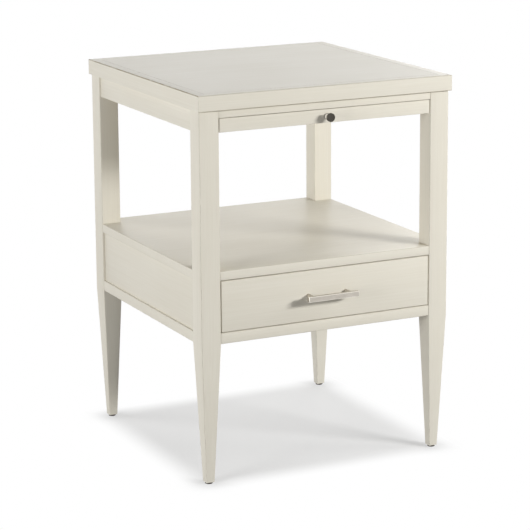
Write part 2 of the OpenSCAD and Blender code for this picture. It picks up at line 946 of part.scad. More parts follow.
// Screws from the inner channel into the side of the drawer box
module drawer_slide_screws(sx, grow = 0, spare = 0) {
    l = sheet + box_t * 0.75 + spare;
    for (y = slide_screw_y) translate([sx * (x_box + sheet), y, z_mid]) rotate([0, -sx * 90, 0])
        flat_screw(l, screw_d + 2 * grow, slide_head_d, slide_head_h);
}

module slide_screws_drawer() {
    color(steel) for (sx = [-1, 1]) drawer_slide_screws(sx);
}

// Drawer

// The dovetails at one end of a side: y0 is the end of the side, and the
// tails narrow along dir until they meet its full board
module dovetails(y0, dir, grow = 0) {
    pitch = box_h / tails;
    root = pitch * 0.36;
    for (k = [0:tails - 1]) translate([0, y0, z_box + pitch * (k + 0.5)]) {
        tip = root + box_t * tail_slope;
        rotate([90, 0, 90]) linear_extrude(height = box_t) polygon([
            [0, -tip / 2 - grow], [0, tip / 2 + grow],
            [dir * box_t, root / 2 + grow], [dir * box_t, -root / 2 - grow]
        ]);
    }
}

// The space of the drawer bottom, grown by a gap
module bottom_space(grow = 0) {
    wide_block(
        x_box_in + groove_d + grow,
        y_box_front + box_t - groove_d - grow, y_box_back - box_t + groove_d + grow,
        z_bottom - grow, z_bottom + bottom_t + grow
    );
}

module drawer_side(sx) {
    x0 = sx < 0 ? -x_box : x_box_in;
    color(birch) difference() {
        union() {
            block([x0, y_box_front + box_t, z_box], [x0 + box_t, y_box_back - box_t, z_box + box_h]);
            translate([x0, 0, 0]) dovetails(y_box_front, 1);
            translate([x0, 0, 0]) dovetails(y_box_back, -1);
        }
        bottom_space(joint_gap);
        drawer_slide_screws(sx, fit, blind);
    }
}

module drawer_side_left() {
    drawer_side(-1);
}

module drawer_side_right() {
    drawer_side(1);
}

// The board at one end of the drawer box, cut for the dovetails
module box_end(y0, dir) {
    y_end = y0 + dir * box_t;
    color(birch) difference() {
        wide_block(x_box, min(y0, y_end), max(y0, y_end), z_box, z_box + box_h);
        for (x = [-x_box, x_box_in]) translate([x, 0, 0]) dovetails(y0, dir, joint_gap);
        bottom_space(joint_gap);
        children();
    }
}

module drawer_box_front() {
    box_end(y_box_front, 1) {
        pull_screws(fit, blind);
        face_screws(fit, blind);
    }
}

module drawer_back() {
    box_end(y_box_back, -1);
}

module drawer_bottom() {
    color(birch) bottom_space();
}

module drawer_front() {
    color(lacquer) difference() {
        wide_block(x_front, y_front, y_box_front, z_drawer_low, z_drawer_top);
        pull_screws(fit, blind);
        face_screws(fit, blind);
    }
}

// Screws from inside the box into the drawer front
module face_screws(grow = 0, spare = 0) {
    for (x = front_screw_x, z = front_screw_z) translate([x, y_box_front + box_t, z])
        rotate([90, 0, 0]) sunk_screw(front_screw_l + spare, grow);
}

module drawer_front_screws() {
    color(steel) face_screws();
}

// Bar pull

module handle_bar() {
    color(nickel) difference() {
        translate([-bar_l / 2, (y_bar_front + y_bar_back) / 2, z_mid]) rotate([90, 0, 90])
            linear_extrude(height = bar_l) polygon([
                [-bar_t / 2 + bar_ease, -bar_h / 2], [bar_t / 2 - bar_ease, -bar_h / 2],
                [bar_t / 2, -bar_h / 2 + bar_ease], [bar_t / 2, bar_h / 2 - bar_ease],
                [bar_t / 2 - bar_ease, bar_h / 2], [-bar_t / 2 + bar_ease, bar_h / 2],
                [-bar_t / 2, bar_h / 2 - bar_ease], [-bar_t / 2, -bar_h / 2 + bar_ease]
            ]);
        for (sx = [-1, 1]) translate([sx * post_pitch / 2, 0, z_mid])
            rod_y(y_bar_back - post_seat, y_bar_back + cut, post_d + 2 * fit);
    }
}

module handle_posts() {
    color(nickel) difference() {
        for (sx = [-1, 1]) translate([sx * post_pitch / 2, 0, z_mid])
            rod_y(y_bar_back - post_seat, y_front, post_d);
        pull_screws(fit, blind);
    }
}

// Machine screws from inside the drawer into the posts
module pull_screws(grow = 0, spare = 0) {
    l = box_t + drawer_front_t + machine_grip + spare;
    for (sx = [-1, 1]) translate([sx * post_pitch / 2, y_box_front + box_t, z_mid]) rotate([90, 0, 0])
        flat_screw(l, machine_d + 2 * grow, machine_head_d, machine_head_h);
}

module handle_screws() {
    color(steel) pull_screws();
}

top_core();
top_lipping_front();
top_lipping_back();
top_lipping_left();
top_lipping_right();
leg_front_left();
leg_front_right();
leg_back_left();
leg_back_right();
foot_glides();
front_top_rail();
apron_left();
apron_right();
apron_back();
apron_dowels();
top_screws();
tray_runner_left();
tray_runner_right();
tray_runner_screws();
tray_panel();
tray_front();
tray_stop();
tray_stop_screws();
tray_knob();
tray_knob_stud();
shelf();
side_panel_left();
side_panel_right();
back_panel();
bottom_board();
case_dowels();
shelf_dowels();
board_screws();
slide_cleat_left();
slide_cleat_right();
slide_outer_left();
slide_outer_right();
slide_middle_left();
slide_middle_right();
slide_balls_left();
slide_balls_right();
slide_inner_left();
slide_inner_right();
slide_screws_case();
slide_screws_drawer();
drawer_front();
drawer_box_front();
drawer_side_left();
drawer_side_right();
drawer_back();
drawer_bottom();
drawer_front_screws();
handle_bar();
handle_posts();
handle_screws();
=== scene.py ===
"""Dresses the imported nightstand: lacquered boards, a birch drawer box, metal fittings, and a studio.

Every size and place is read from the CAD frame; the classes below only add the easings, grain and
fittings that the frame leaves out. Lengths are in metres, in the frame's own axes: the drawer faces -Y
and +Z is up.
"""

import sys

import json
import logging
import math
from collections.abc import Callable, Iterable, Sequence
from dataclasses import dataclass, replace
from enum import Enum

import bmesh
import bpy
from mathutils import Matrix, Vector

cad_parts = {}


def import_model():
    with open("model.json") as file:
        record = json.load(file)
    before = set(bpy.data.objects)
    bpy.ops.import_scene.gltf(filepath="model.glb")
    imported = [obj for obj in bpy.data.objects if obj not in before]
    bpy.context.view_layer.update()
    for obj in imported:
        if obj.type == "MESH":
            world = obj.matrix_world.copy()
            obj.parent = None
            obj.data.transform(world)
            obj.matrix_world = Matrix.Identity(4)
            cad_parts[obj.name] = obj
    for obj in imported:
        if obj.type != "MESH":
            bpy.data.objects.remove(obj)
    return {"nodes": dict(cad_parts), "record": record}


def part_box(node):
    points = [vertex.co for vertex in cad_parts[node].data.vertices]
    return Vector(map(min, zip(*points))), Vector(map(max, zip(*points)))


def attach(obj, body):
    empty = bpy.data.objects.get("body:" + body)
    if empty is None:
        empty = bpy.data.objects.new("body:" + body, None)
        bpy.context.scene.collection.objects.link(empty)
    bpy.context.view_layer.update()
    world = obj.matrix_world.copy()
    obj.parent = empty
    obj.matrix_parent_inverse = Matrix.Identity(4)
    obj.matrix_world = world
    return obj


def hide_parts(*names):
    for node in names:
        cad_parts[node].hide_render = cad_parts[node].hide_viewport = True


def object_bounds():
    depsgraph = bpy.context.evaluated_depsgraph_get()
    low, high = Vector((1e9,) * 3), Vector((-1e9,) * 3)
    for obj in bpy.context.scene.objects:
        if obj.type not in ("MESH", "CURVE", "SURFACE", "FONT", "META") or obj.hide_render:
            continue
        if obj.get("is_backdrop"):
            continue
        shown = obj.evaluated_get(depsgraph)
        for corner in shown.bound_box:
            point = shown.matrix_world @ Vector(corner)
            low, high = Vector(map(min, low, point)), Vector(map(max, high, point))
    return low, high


LOG = logging.getLogger("nightstand")
MM = 0.001
TOUCH = 0.01 * MM
WELD = 0.002 * MM
QUARTER = math.pi / 2
EDGE, BOARD, NECK_HIGHLIGHT, AIM = "edge", "board", "face", "aim"

SOCKETS = {
    float: "NodeSocketFloat",
    tuple: "NodeSocketVector",
    bpy.types.Material: "NodeSocketMaterial",
}

Colour = tuple[float, float, float, float]
Point = tuple[float, float]
BMesh = bmesh.types.BMesh
BMEdge = bmesh.types.BMEdge


def display(red: float, green: float, blue: float) -> Colour:
    """Turns a display colour, 0 to 255 in each channel, into the linear colour that shaders take.

    Args:
        red: The red channel.
        green: The green channel.
        blue: The blue channel.

    Returns:
        The linear colour with an alpha of 1.
    """
    knee, slope, offset, power = 0.04045, 12.92, 0.055, 2.4
    shares = (channel / 255 for channel in (red, green, blue))
    lin = [s / slope if s <= knee else ((s + offset) / (1 + offset)) ** power for s in shares]
    return (lin[0], lin[1], lin[2], 1.0)


class Value:
    """One output socket of a node tree that takes part in Python arithmetic."""

    def __init__(self, tree: "Tree", socket: bpy.types.NodeSocket) -> None:
        """Keeps the socket and the tree that new nodes go into."""
        self.tree = tree
        self.socket = socket

    def output(self, name: str | int) -> "Value":
        """Returns another output of the node that this value comes from."""
        return Value(self.tree, self.tree.find(self.socket.node.outputs, name))

    def __add__(self, other: "Feed") -> "Value":
        """Adds another value or number."""
        return self.tree.combine("ADD", self, other)

    def __radd__(self, other: "Feed") -> "Value":
        """Adds this value to a number."""
        return self.tree.combine("ADD", other, self)

    def __sub__(self, other: "Feed") -> "Value":
        """Subtracts another value or number."""
        return self.tree.combine("SUBTRACT", self, other)

    def __rsub__(self, other: "Feed") -> "Value":
        """Subtracts this value from a number."""
        return self.tree.combine("SUBTRACT", other, self)

    def __mul__(self, other: "Feed") -> "Value":
        """Multiplies by another value or number."""
        return self.tree.combine("MULTIPLY", self, other)

    def __rmul__(self, other: "Feed") -> "Value":
        """Multiplies a number by this value."""
        return self.tree.combine("MULTIPLY", other, self)

    def __abs__(self) -> "Value":
        """Returns this number without its sign."""
        return self.tree.node("ShaderNodeMath", {"operation": "ABSOLUTE"}, {0: self})


Feed = Value | float | int | bool | str | Sequence | bpy.types.ID | None


@dataclass(frozen=True)
class Grain:
    """A layer of noise: how often it changes per metre along and across the grain, and how fine it is.

    Tone, height and dull tell how much of it goes into a finish's colour, relief and roughness. Patches
    of it fade in between the levels low and high.
    """

    along: float
    across: float
    detail: float = 2.0
    roughness: float = 0.5
    tone: float = 0.0
    height: float = 0.0
    dull: float = 0.0
    low: float = 0.0
    high: float = 1.0


class Tree:
    """Adds nodes to a shader tree or a geometry tree; node() makes every one of them."""

    def __init__(self, tree: bpy.types.NodeTree) -> None:
        """Takes an empty node tree."""
        self.tree = tree

    @classmethod
    def fresh(cls, owner: bpy.types.Material | bpy.types.World) -> "Tree":
        """Empties the node tree of a material or a world.

        Args:
            owner: The material or world.

        Returns:
            Its tree.
        """
        owner.use_nodes = True
        owner.node_tree.nodes.clear()
        return cls(owner.node_tree)

    @staticmethod
    def find(sockets: bpy.types.bpy_prop_collection, key: str | int) -> bpy.types.NodeSocket:
        """Finds a socket by its place, its identifier or its name.

        Args:
            sockets: A node's inputs or outputs.
            key: The place, identifier or name.

        Returns:
            The socket.
        """
        if isinstance(key, int):
            return sockets[key]
        return next((s for s in sockets if s.identifier == key), None) or sockets[key]

    def node(
        self,
        kind: str,
        settings: dict[str, object] | None = None,
        inputs: dict[str | int, Feed] | None = None,
        out: str | int = 0,
    ) -> Value:
        """Makes a node, sets its options first, and then fills or links its sockets.

        Args:
            kind: The node's type.
            settings: Its options.
            inputs: Numbers, colours, data-blocks or values, by socket; a list of values goes into one.
            out: The output that is wanted.

        Returns:
            That output as a value.
        """
        made = self.tree.nodes.new(kind)
        for name, setting in (settings or {}).items():
            setattr(made, name, setting)
        for key, feed in (inputs or {}).items():
            socket = self.find(made.inputs, key)
            for part in feed if isinstance(feed, list) else [feed]:
                if isinstance(part, Value):
                    self.tree.links.new(part.socket, socket)
                else:
                    socket.default_value = part
        return Value(self, self.find(made.outputs, out) if len(made.outputs) else None)

    def combine(self, operation: str, left: Feed, right: Feed) -> Value:
        """Adds one step of arithmetic: Mix for colours, Vector Math for vectors, Math for numbers.

        Args:
            operation: The operation's name, such as ADD.
            left: The first value.
            right: The second value.

        Returns:
            The result.
        """
        parts = (left, right)
        kinds = {part.socket.type for part in parts if isinstance(part, Value)}
        if "RGBA" in kinds:
            first, second = (p if isinstance(p, Value | tuple) else (p, p, p, 1.0) for p in parts)
            return self.mix(1.0, first, second, operation)
        if "VECTOR" in kinds:
            first, second = (p if isinstance(p, Value | tuple) else (p, p, p) for p in parts)
            return self.node("ShaderNodeVectorMath", {"operation": operation}, {0: first, 1: second})
        return self.node("ShaderNodeMath", {"operation": operation}, {0: left, 1: right})

    def mix(self, share: Feed, first: Feed, second: Feed, blend: str = "MIX") -> Value:
        """Mixes two colours.

        Args:
            share: How much of the second colour shows.
            first: The first colour.
            second: The second colour.
            blend: How they blend.

        Returns:
            The mixed colour.
        """
        settings = {"data_type": "RGBA", "blend_type": blend}
        inputs = {"Factor_Float": share, "A_Color": first, "B_Color": second}
        return self.node("ShaderNodeMix", settings, inputs, "Result_Color")

    def between(self, value: Value, low: float, high: float) -> Value:
        """Maps a value smoothly from 0 at low to 1 at high."""
        inputs = {"Value": value, "From Min": low, "From Max": high}
        return self.node("ShaderNodeMapRange", {"interpolation_type": "SMOOTHSTEP"}, inputs, "Result")

    def noise(self, place: Value, grain: Grain) -> Value:
        """Adds a layer of noise.

        Args:
            place: The place in metres along and across the grain.
            grain: The layer.

        Returns:
            The noise around 0, from about -0.5 to 0.5.
        """
        scaled = place * (grain.along, grain.across, grain.across)
        inputs = {"Vector": scaled, "Scale": 1.0, "Detail": grain.detail, "Roughness": grain.roughness}
        return self.node("ShaderNodeTexNoise", {}, inputs, "Fac") - 0.5

    def patches(self, place: Value, grain: Grain) -> Value:
        """Returns a layer of noise as patches, from 0 to 1."""
        return self.between(self.noise(place, grain), grain.low, grain.high)

    def named(self, attribute: str) -> Value:
        """Reads a number that a mesh carries, or 0 where it carries none."""
        settings = {"attribute_type": "GEOMETRY", "attribute_name": attribute}
        return self.node("ShaderNodeAttribute", settings, {}, "Fac")

    def aims(self) -> Value:
        """Reads the vector that each point of a geometry tree carries."""
        settings = {"data_type": "FLOAT_VECTOR"}
        return self.node("GeometryNodeInputNamedAttribute", settings, {"Name": AIM})

    def vector(self, x: Feed = 0.0, y: Feed = 0.0, z: Feed = 0.0) -> Value:
        """Puts three numbers together as a vector."""
        return self.node("ShaderNodeCombineXYZ", {}, {"X": x, "Y": y, "Z": z})


class Along(Enum):
    """The direction in which the grain of a board or the brushing of a metal runs."""

    WIDTH = "width"
    DEPTH = "depth"
    HEIGHT = "height"

    @property
    def turn(self) -> tuple[float, float, float]:
        """The rotation that brings this direction onto X."""
        turns = {Along.WIDTH: (0, 0, 0), Along.DEPTH: (0, 0, QUARTER), Along.HEIGHT: (0, QUARTER, 0)}
        return turns[self]


@dataclass(frozen=True)
class Finish:
    """What every finish shares.

    Middle is its tone and sheen its roughness before the grains move them; bite and relief are the
    strength and the depth of its bump; constants are sockets of the shader that hold one number.
    """

    name: str = "finish"
    along: Along = Along.WIDTH
    grains: tuple[Grain, ...] = ()
    middle: float = 0.5
    sheen: float = 0.4
    bite: float = 0.3
    relief: float = 0.1 * MM
    constants: tuple[tuple[str, float], ...] = ()

    def material(self) -> bpy.types.Material:
        """Makes the finish's material, once for each name and direction.

        Returns:
            The material.
        """
        title = f"{self.name}_{self.along.value}"
        if title in bpy.data.materials:
            return bpy.data.materials[title]
        made = bpy.data.materials.new(title)
        tree = Tree.fresh(made)
        surface = self.surface(tree, self.grain_space(tree))
        tree.node("ShaderNodeOutputMaterial", {}, {"Surface": surface})
        return made

    def turned(self, tree: Tree, source: str) -> Value:
        """Turns an output of Texture Coordinate so that the grain lies along X."""
        vector = tree.node("ShaderNodeTexCoord", {}, {}, source)
        return tree.node("ShaderNodeMapping", {}, {"Vector": vector, "Rotation": self.along.turn})

    def grain_space(self, tree: Tree) -> Value:
        """Returns the place in metres along and across the grain, moved on by each board's number."""
        number = tree.named(BOARD)
        return self.turned(tree, "Object") + tree.vector(number, number)

    def layers(self, tree: Tree, place: Value) -> tuple[Feed, Feed, Feed]:
        """Adds up the layers of grain.

        Args:
            tree: The material's tree.
            place: The place along and across the grain.

        Returns:
            The tone, the height and the roughness there.
        """
        sums: list[Feed] = [self.middle, 0.0, self.sheen]
        for grain in self.grains:
            noise = tree.noise(place, grain)
            for number, share in enumerate((grain.tone, grain.height, grain.dull)):
                if share:
                    sums[number] = sums[number] + noise * share
        return sums[0], sums[1], sums[2]

    def shader(self, tree: Tree, colour: Value, rough: Value, height: Value) -> Value:
        """Adds the shader that every finish ends in.

        Args:
            tree: The material's tree.
            colour: Its base colour.
            rough: Its roughness.
            height: The height that bends its normal.

        Returns:
            The shader.
        """
        inputs = {"Strength": self.bite, "Distance": self.relief, "Height": height}
        bump = tree.node("ShaderNodeBump", {}, inputs)
        inputs = {"Base Color": colour, "Roughness": rough, "Normal": bump} | dict(self.constants)
        return tree.node("ShaderNodeBsdfPrincipled", {}, inputs, "BSDF")

    def surface(self, tree: Tree, place: Value) -> Value:
        """Builds the shader; each finish has its own."""
        raise NotImplementedError


@dataclass(frozen=True)
class Lacquer(Finish):
    """Satin cream lacquer: fine grain telegraphs through it, and a thin glaze stays in the edges; on the
    top's arrises it is partly painted shade.
    """

    name: str = "cream_lacquer"
    cream: Colour = display(227, 223, 211)
    shade: Colour = display(216, 210, 195)
    glaze: Colour = display(142, 128, 98)
    grains: tuple[Grain, ...] = (
        Grain(14.0, 900.0, 2.0, 0.6, tone=0.35, height=0.35),
        Grain(5.0, 300.0, 4.0, 0.62, tone=0.5, height=0.65, dull=0.12),
        Grain(1.6, 26.0, tone=0.25),
        Grain(7.0, 7.0, tone=0.25, dull=0.06),
    )
    wiping: Grain = Grain(60.0, 60.0, 3.0, low=-0.35, high=0.25)
    least_glaze: float = 0.45
    bite: float = 0.25
    constants: tuple[tuple[str, float], ...] = (
        ("Specular IOR Level", 0.18),
        ("Coat Weight", 0.06),
        ("Coat Roughness", 0.24),
        ("IOR", 1.45),
    )

    def surface(self, tree: Tree, place: Value) -> Value:
        """Mixes cream and shade by the grain, and leaves more or less glaze in the edges, which on the
        top's arrises is partly painted shade.

        Args:
            tree: The material's tree.
            place: The place along and across the grain.

        Returns:
            The shader.
        """
        tone, height, rough = self.layers(tree, place)
        wood = tree.mix(tree.between(tone, 0.0, 1.0), self.cream, self.shade)
        left = self.least_glaze + tree.patches(place, self.wiping) * (1.0 - self.least_glaze)
        return self.shader(tree, tree.mix(tree.named(EDGE) * left, wood, self.glaze), rough, height)


@dataclass(frozen=True)
class Timber(Finish):
    """Bare or clear-lacquered wood: growth rings along the board, pores, and darker end grain."""

    name: str = "birch"
    pale: Colour = display(229, 209, 174)
    ring: Colour = display(211, 182, 140)
    end: Colour = display(176, 140, 98)
    grains: tuple[Grain, ...] = (
        Grain(2.2, 16.0, 4.0, tone=1.1),
        Grain(22.0, 900.0, 3.0, 0.65, tone=0.7, height=1.0, dull=0.2),
    )
    flecks: Grain = Grain(45.0, 480.0, low=0.12, high=0.3)
    fibres: Grain = Grain(700.0, 700.0, low=-0.2, high=0.3)
    middle: float = 0.3
    ring_along: float = 1.5
    ring_across: float = 17.0
    ring_bend: float = 5.0
    ring_tone: float = 0.3
    ring_height: float = 0.15
    darkest: float = 1.1
    fleck_share: float = 0.2
    end_facing: Point = (0.7, 0.95)
    end_share: float = 0.75
    end_dull: float = 0.15
    sheen: float = 0.5
    relief: float = 0.15 * MM
    constants: tuple[tuple[str, float], ...] = (("Coat Weight", 0.15), ("Coat Roughness", 0.35))

    def rings(self, tree: Tree, place: Value) -> Value:
        """Draws the growth rings.

        Args:
            tree: The material's tree.
            place: The place along and across the grain.

        Returns:
            The rings, from 0 to 1.
        """
        scaled = place * (self.ring_along, self.ring_across, self.ring_across)
        inputs = {"Vector": scaled, "Scale": 1.0, "Distortion": self.ring_bend, "Detail": 2.0}
        return tree.node("ShaderNodeTexWave", {"bands_direction": "DIAGONAL"}, inputs, "Fac")

    def end_grain(self, tree: Tree) -> Value:
        """Returns 1 on faces that look along the grain and 0 on faces that look across it."""
        ahead = tree.node("ShaderNodeSeparateXYZ", {}, {"Vector": self.turned(tree, "Normal")}, "X")
        return tree.between(abs(ahead), *self.end_facing)

    def surface(self, tree: Tree, place: Value) -> Value:
        """Draws rings with slow bends, fine pores on them, and end grain.

        Args:
            tree: The material's tree.
            place: The place along and across the grain.

        Returns:
            The shader.
        """
        tone, height, rough = self.layers(tree, place)
        rings, cut = self.rings(tree, place), self.end_grain(tree)
        tone = tree.between(tone + rings * self.ring_tone, 0.0, self.darkest)
        flecks = tree.patches(place, self.flecks) * self.fleck_share
        wood = tree.mix(tone * (1.0 - self.fleck_share) + flecks, self.pale, self.ring)
        fibres = tree.mix(tree.patches(place, self.fibres), self.end, self.ring)
        colour = tree.mix(cut * self.end_share, wood, fibres)
        return self.shader(tree, colour, rough + cut * self.end_dull, height + rings * self.ring_height)


def brushed(along: float, across: float) -> tuple[Grain, Grain]:
    """Returns the layers of a metal: brushing lines, and slow tarnish."""
    lines = Grain(along, across, 3.0, 0.6, tone=1.1, height=1.0, dull=0.16)
    return lines, Grain(90.0, 90.0, 3.0, tone=0.9, dull=0.1)


@dataclass(frozen=True)
class Metal(Finish):
    """Drawn, plated or turned metal: brushing lines along it, slow tarnish, and brighter metal on marked
    edges and faces, which is wear on some and a painted highlight on others.
    """

    name: str = "brushed_nickel"
    body: Colour = display(202, 196, 186)
    dull: Colour = display(178, 172, 162)
    # Brighter metal for marked edges and faces: wear on some, a painted highlight on the bar's edges and
    # the knob's neck.
    bright: Colour = display(240, 236, 227)
    grains: tuple[Grain, ...] = brushed(30.0, 1500.0)
    middle: float = 0.45
    sheen: float = 0.45
    polish: float = 0.08
    bite: float = 0.4
    relief: float = 0.02 * MM
    constants: tuple[tuple[str, float], ...] = (("Metallic", 1.0),)

    def surface(self, tree: Tree, place: Value) -> Value:
        """Mixes clean and dull metal, with brighter metal where an edge or a face is marked for it: a
        painted highlight on the bar's edges and the knob's neck, and wear on other edges.

        Args:
            tree: The material's tree.
            place: The place along and across the brushing.

        Returns:
            The shader.
        """
        tone, height, rough = self.layers(tree, place)
        plain = tree.mix(tree.between(tone, 0.0, 1.0), self.body, self.dull)
        # The marked edges and faces: a painted highlight on the bar and the knob's neck, and wear
        # elsewhere.
        wear_and_highlight = tree.between(tree.named(EDGE) + tree.named(NECK_HIGHLIGHT), 0.0, 1.0)
        colour = tree.mix(wear_and_highlight, plain, self.bright)
        return self.shader(tree, colour, rough - wear_and_highlight * self.polish, height)


@dataclass(frozen=True)
class Moulded(Finish):
    """Brown moulded plastic with a fine skin and scuffs."""

    name: str = "glide_brown"
    body: Colour = display(50, 40, 33)
    scuffed: Colour = display(86, 72, 60)
    grains: tuple[Grain, ...] = (Grain(1400.0, 1400.0, height=1.0, dull=0.2),)
    scuffing: Grain = Grain(160.0, 160.0, 4.0, 0.7, low=0.08, high=0.3)
    scuff_share: float = 0.5
    scuff_dull: float = 0.15
    sheen: float = 0.48
    bite: float = 0.35
    relief: float = 0.05 * MM

    def surface(self, tree: Tree, place: Value) -> Value:
        """Speckles the skin and scuffs it in patches.

        Args:
            tree: The material's tree.
            place: The place in metres.

        Returns:
            The shader.
        """
        _, height, rough = self.layers(tree, place)
        scuffs = tree.patches(place, self.scuffing)
        colour = tree.mix(scuffs * self.scuff_share, self.body, self.scuffed)
        return self.shader(tree, colour, rough + scuffs * self.scuff_dull, height)


BIRCH = Timber()
BIRCH_DEEP = replace(BIRCH, along=Along.DEPTH)
BEECH = Timber(
    name="beech_dowel",
    pale=display(206, 164, 112),
    ring=display(181, 136, 86),
    end=display(150, 106, 64),
    ring_across=160.0,
    constants=(("Coat Weight", 0.0), ("Coat Roughness", 0.35)),
)
NICKEL = Metal()
PEWTER = Metal(
    name="pewter",
    along=Along.DEPTH,
    body=display(88, 85, 79),
    dull=display(66, 63, 57),
    bright=display(206, 200, 188),
    sheen=0.26,
    grains=brushed(30.0, 700.0),
)
ZINC = Metal(
    name="zinc_steel",
    body=display(190, 194, 197),
    dull=display(158, 161, 163),
    bright=display(225, 228, 230),
    sheen=0.38,
    grains=brushed(60.0, 260.0),
)
GLIDE = Moulded()


@dataclass(frozen=True)
class Solid:
    """One loose solid of a CAD node, as its points in the frame."""

    points: tuple[Vector, ...]

    @property
    def low(self) -> Vector:
        """The lowest corner of its box."""
        return Vector(min(p[i] for p in self.points) for i in range(3))

    @property
    def high(self) -> Vector:
        """The highest corner of its box."""
        return Vector(max(p[i] for p in self.points) for i in range(3))

    @property
    def centre(self) -> Vector:
        """The middle of its box."""
        return (self.low + self.high) / 2

    @property
    def length_axis(self) -> int:
        """The axis of its longest side."""
        spans = list(self.high - self.low)
        return spans.index(max(spans))

    def spread(self, end: float) -> float:
        """Returns how far the points at one end lie from its long axis.

        Args:
            end: The coordinate of that end on the long axis.

        Returns:
            The greatest distance from the axis, in metres.
        """
        axis, centre = self.length_axis, self.centre
        near = [p for p in self.points if abs(p[axis] - end) < TOUCH]
        return max(math.sqrt(sum((p[i] - centre[i]) ** 2 for i in range(3) if i != axis)) for p in near)

    @property
    def aim(self) -> Vector:
        """The unit vector from the wide end, its head, to the narrow end."""
        axis = self.length_axis
        low, high = self.low[axis], self.high[axis]
        aim = Vector((0, 0, 0))
        aim[axis] = 1.0 if self.spread(low) > self.spread(high) else -1.0
        return aim

    @property
    def head(self) -> Vector:
        """The middle of the wide end's face."""
        half = (self.high - self.low)[self.length_axis] / 2
        return self.centre - self.aim * half


@dataclass
class Frame:
    """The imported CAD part, as the classes of this file use it."""

    nodes: dict[str, bpy.types.Object]
    bodies: dict[str, list[str]]
    slots: dict[str, str]
    stood_for: set[str]

    @classmethod
    def load(cls) -> "Frame":
        """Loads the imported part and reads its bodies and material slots.

        Returns:
            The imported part, with no piece in place of a node yet.
        """
        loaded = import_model()
        record = loaded["record"]
        slots = {row["node"]: row["material_slot"] for row in record["subparts"]}
        return cls(loaded["nodes"], record["behaviour"]["bodies"], slots, set())

    def body_of(self, node: str) -> str:
        """Returns the body that a CAD node moves with."""
        return next(body for body, nodes in self.bodies.items() if node in nodes)

    def merged(self, node: str) -> BMesh:
        """Copies a CAD node's mesh and merges its loose triangles.

        Args:
            node: The CAD node.

        Returns:
            The copy.
        """
        mesh = bmesh.new()
        mesh.from_mesh(self.nodes[node].data)
        bmesh.ops.remove_doubles(mesh, verts=mesh.verts, dist=WELD)
        return mesh

    def solids(self, node: str) -> list[Solid]:
        """Splits a CAD node into its loose solids.

        Args:
            node: The CAD node.

        Returns:
            The solids, in the order of their lowest corners.
        """
        mesh = self.merged(node)
        left = set(mesh.verts)
        found = []
        while left:
            grow = [left.pop()]
            points = []
            while grow:
                vert = grow.pop()
                points.append(vert.co.copy())
                near = [e.other_vert(vert) for e in vert.link_edges]
                fresh = [v for v in near if v in left]
                left.difference_update(fresh)
                grow.extend(fresh)
            found.append(Solid(tuple(points)))
        mesh.free()
        return sorted(found, key=lambda solid: tuple(solid.low))

    def place(self, node: str, way: str, mesh: BMesh, finish: Finish, smooth_below: float = 35.0) -> None:
        """Finishes a mesh and lets it stand for a CAD node: it rides with it.

        Args:
            node: The CAD node.
            way: What the piece is or how it was made, for the end of its name.
            mesh: The piece's mesh, which is freed.
            finish: Its finish.
            smooth_below: Edges that turn by less than this, in degrees, are shaded smooth.
        """
        piece = finished(f"{node}_{way}", mesh, finish, smooth_below)
        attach(piece, self.body_of(node))
        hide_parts(node)
        self.stood_for.add(node)
        LOG.info("%s: %d faces, for %s", piece.name, len(piece.data.polygons), node)

    def dress(self, node: str, finish: Finish) -> None:
        """Gives a CAD node that stays in view its finish.

        Args:
            node: The CAD node.
            finish: Its finish.
        """
        self.nodes[node].data.materials.clear()
        self.nodes[node].data.materials.append(finish.material())
        LOG.info("%s: CAD node in %s", node, finish.name)


def board_number(name: str) -> float:
    """Returns a number of its own for each board, so that no two have the same stretch of grain."""
    stretches, apart = 97, 0.37
    return sum(ord(letter) * (place + 1) for place, letter in enumerate(name)) % stretches * apart


def linked(name: str, data: bpy.types.ID) -> bpy.types.Object:
    """Makes an object of a data-block and links it to the scene.

    Args:
        name: The object's name.
        data: Its mesh, lamp or camera.

    Returns:
        The object.
    """
    made = bpy.data.objects.new(name, data)
    bpy.context.scene.collection.objects.link(made)
    return made


def closed(name: str, mesh: BMesh) -> bpy.types.Mesh:
    """Turns a mesh under construction, which is freed, into a plain mesh.

    Args:
        name: The name of the plain mesh.
        mesh: The mesh under construction.

    Returns:
        The plain mesh.
    """
    data = bpy.data.meshes.new(name)
    mesh.to_mesh(data)
    mesh.free()
    return data


def opened(*parts: bpy.types.Mesh) -> BMesh:
    """Puts plain meshes, which are removed, together into one mesh under construction.

    Args:
        parts: The plain meshes.

    Returns:
        The mesh under construction.
    """
    mesh = bmesh.new()
    for data in parts:
        mesh.from_mesh(data)
        bpy.data.meshes.remove(data)
    return mesh


def mark(mesh: BMesh, layer_name: str, faces: Iterable[bmesh.types.BMFace], amount: float) -> None:
    """Writes a number onto some faces.

    Args:
        mesh: The mesh.
        layer_name: The attribute's name.
        faces: The faces that get it.
        amount: The number.
    """
    mesh.faces.index_update()
    numbers = [face.index for face in faces]
    layer = mesh.faces.layers.float.get(layer_name) or mesh.faces.layers.float.new(layer_name)
    mesh.faces.ensure_lookup_table()
    for number in numbers:
        mesh.faces[number][layer] = amount


def finished(name: str, mesh: BMesh, finish: Finish, smooth_below: float) -> bpy.types.Object:
    """Turns a mesh under construction into an object with its finish.

    Args:
        name: The object's name.
        mesh: The mesh, which is freed.
        finish: Its finish.
        smooth_below: Edges that turn by less than this, in degrees, are shaded smooth.

    Returns:
        The object, linked to the scene.
    """
    mark(mesh, BOARD, mesh.faces, board_number(name))
    bmesh.ops.recalc_face_normals(mesh, faces=mesh.faces)
    for face in mesh.faces:
        face.smooth = True
    for edge in mesh.edges:
        if len(edge.link_faces) == 2 and edge.calc_face_angle() > math.radians(smooth_below):
            edge.smooth = False
    data = closed(name, mesh)
    data.materials.append(finish.material())
    return linked(name, data)


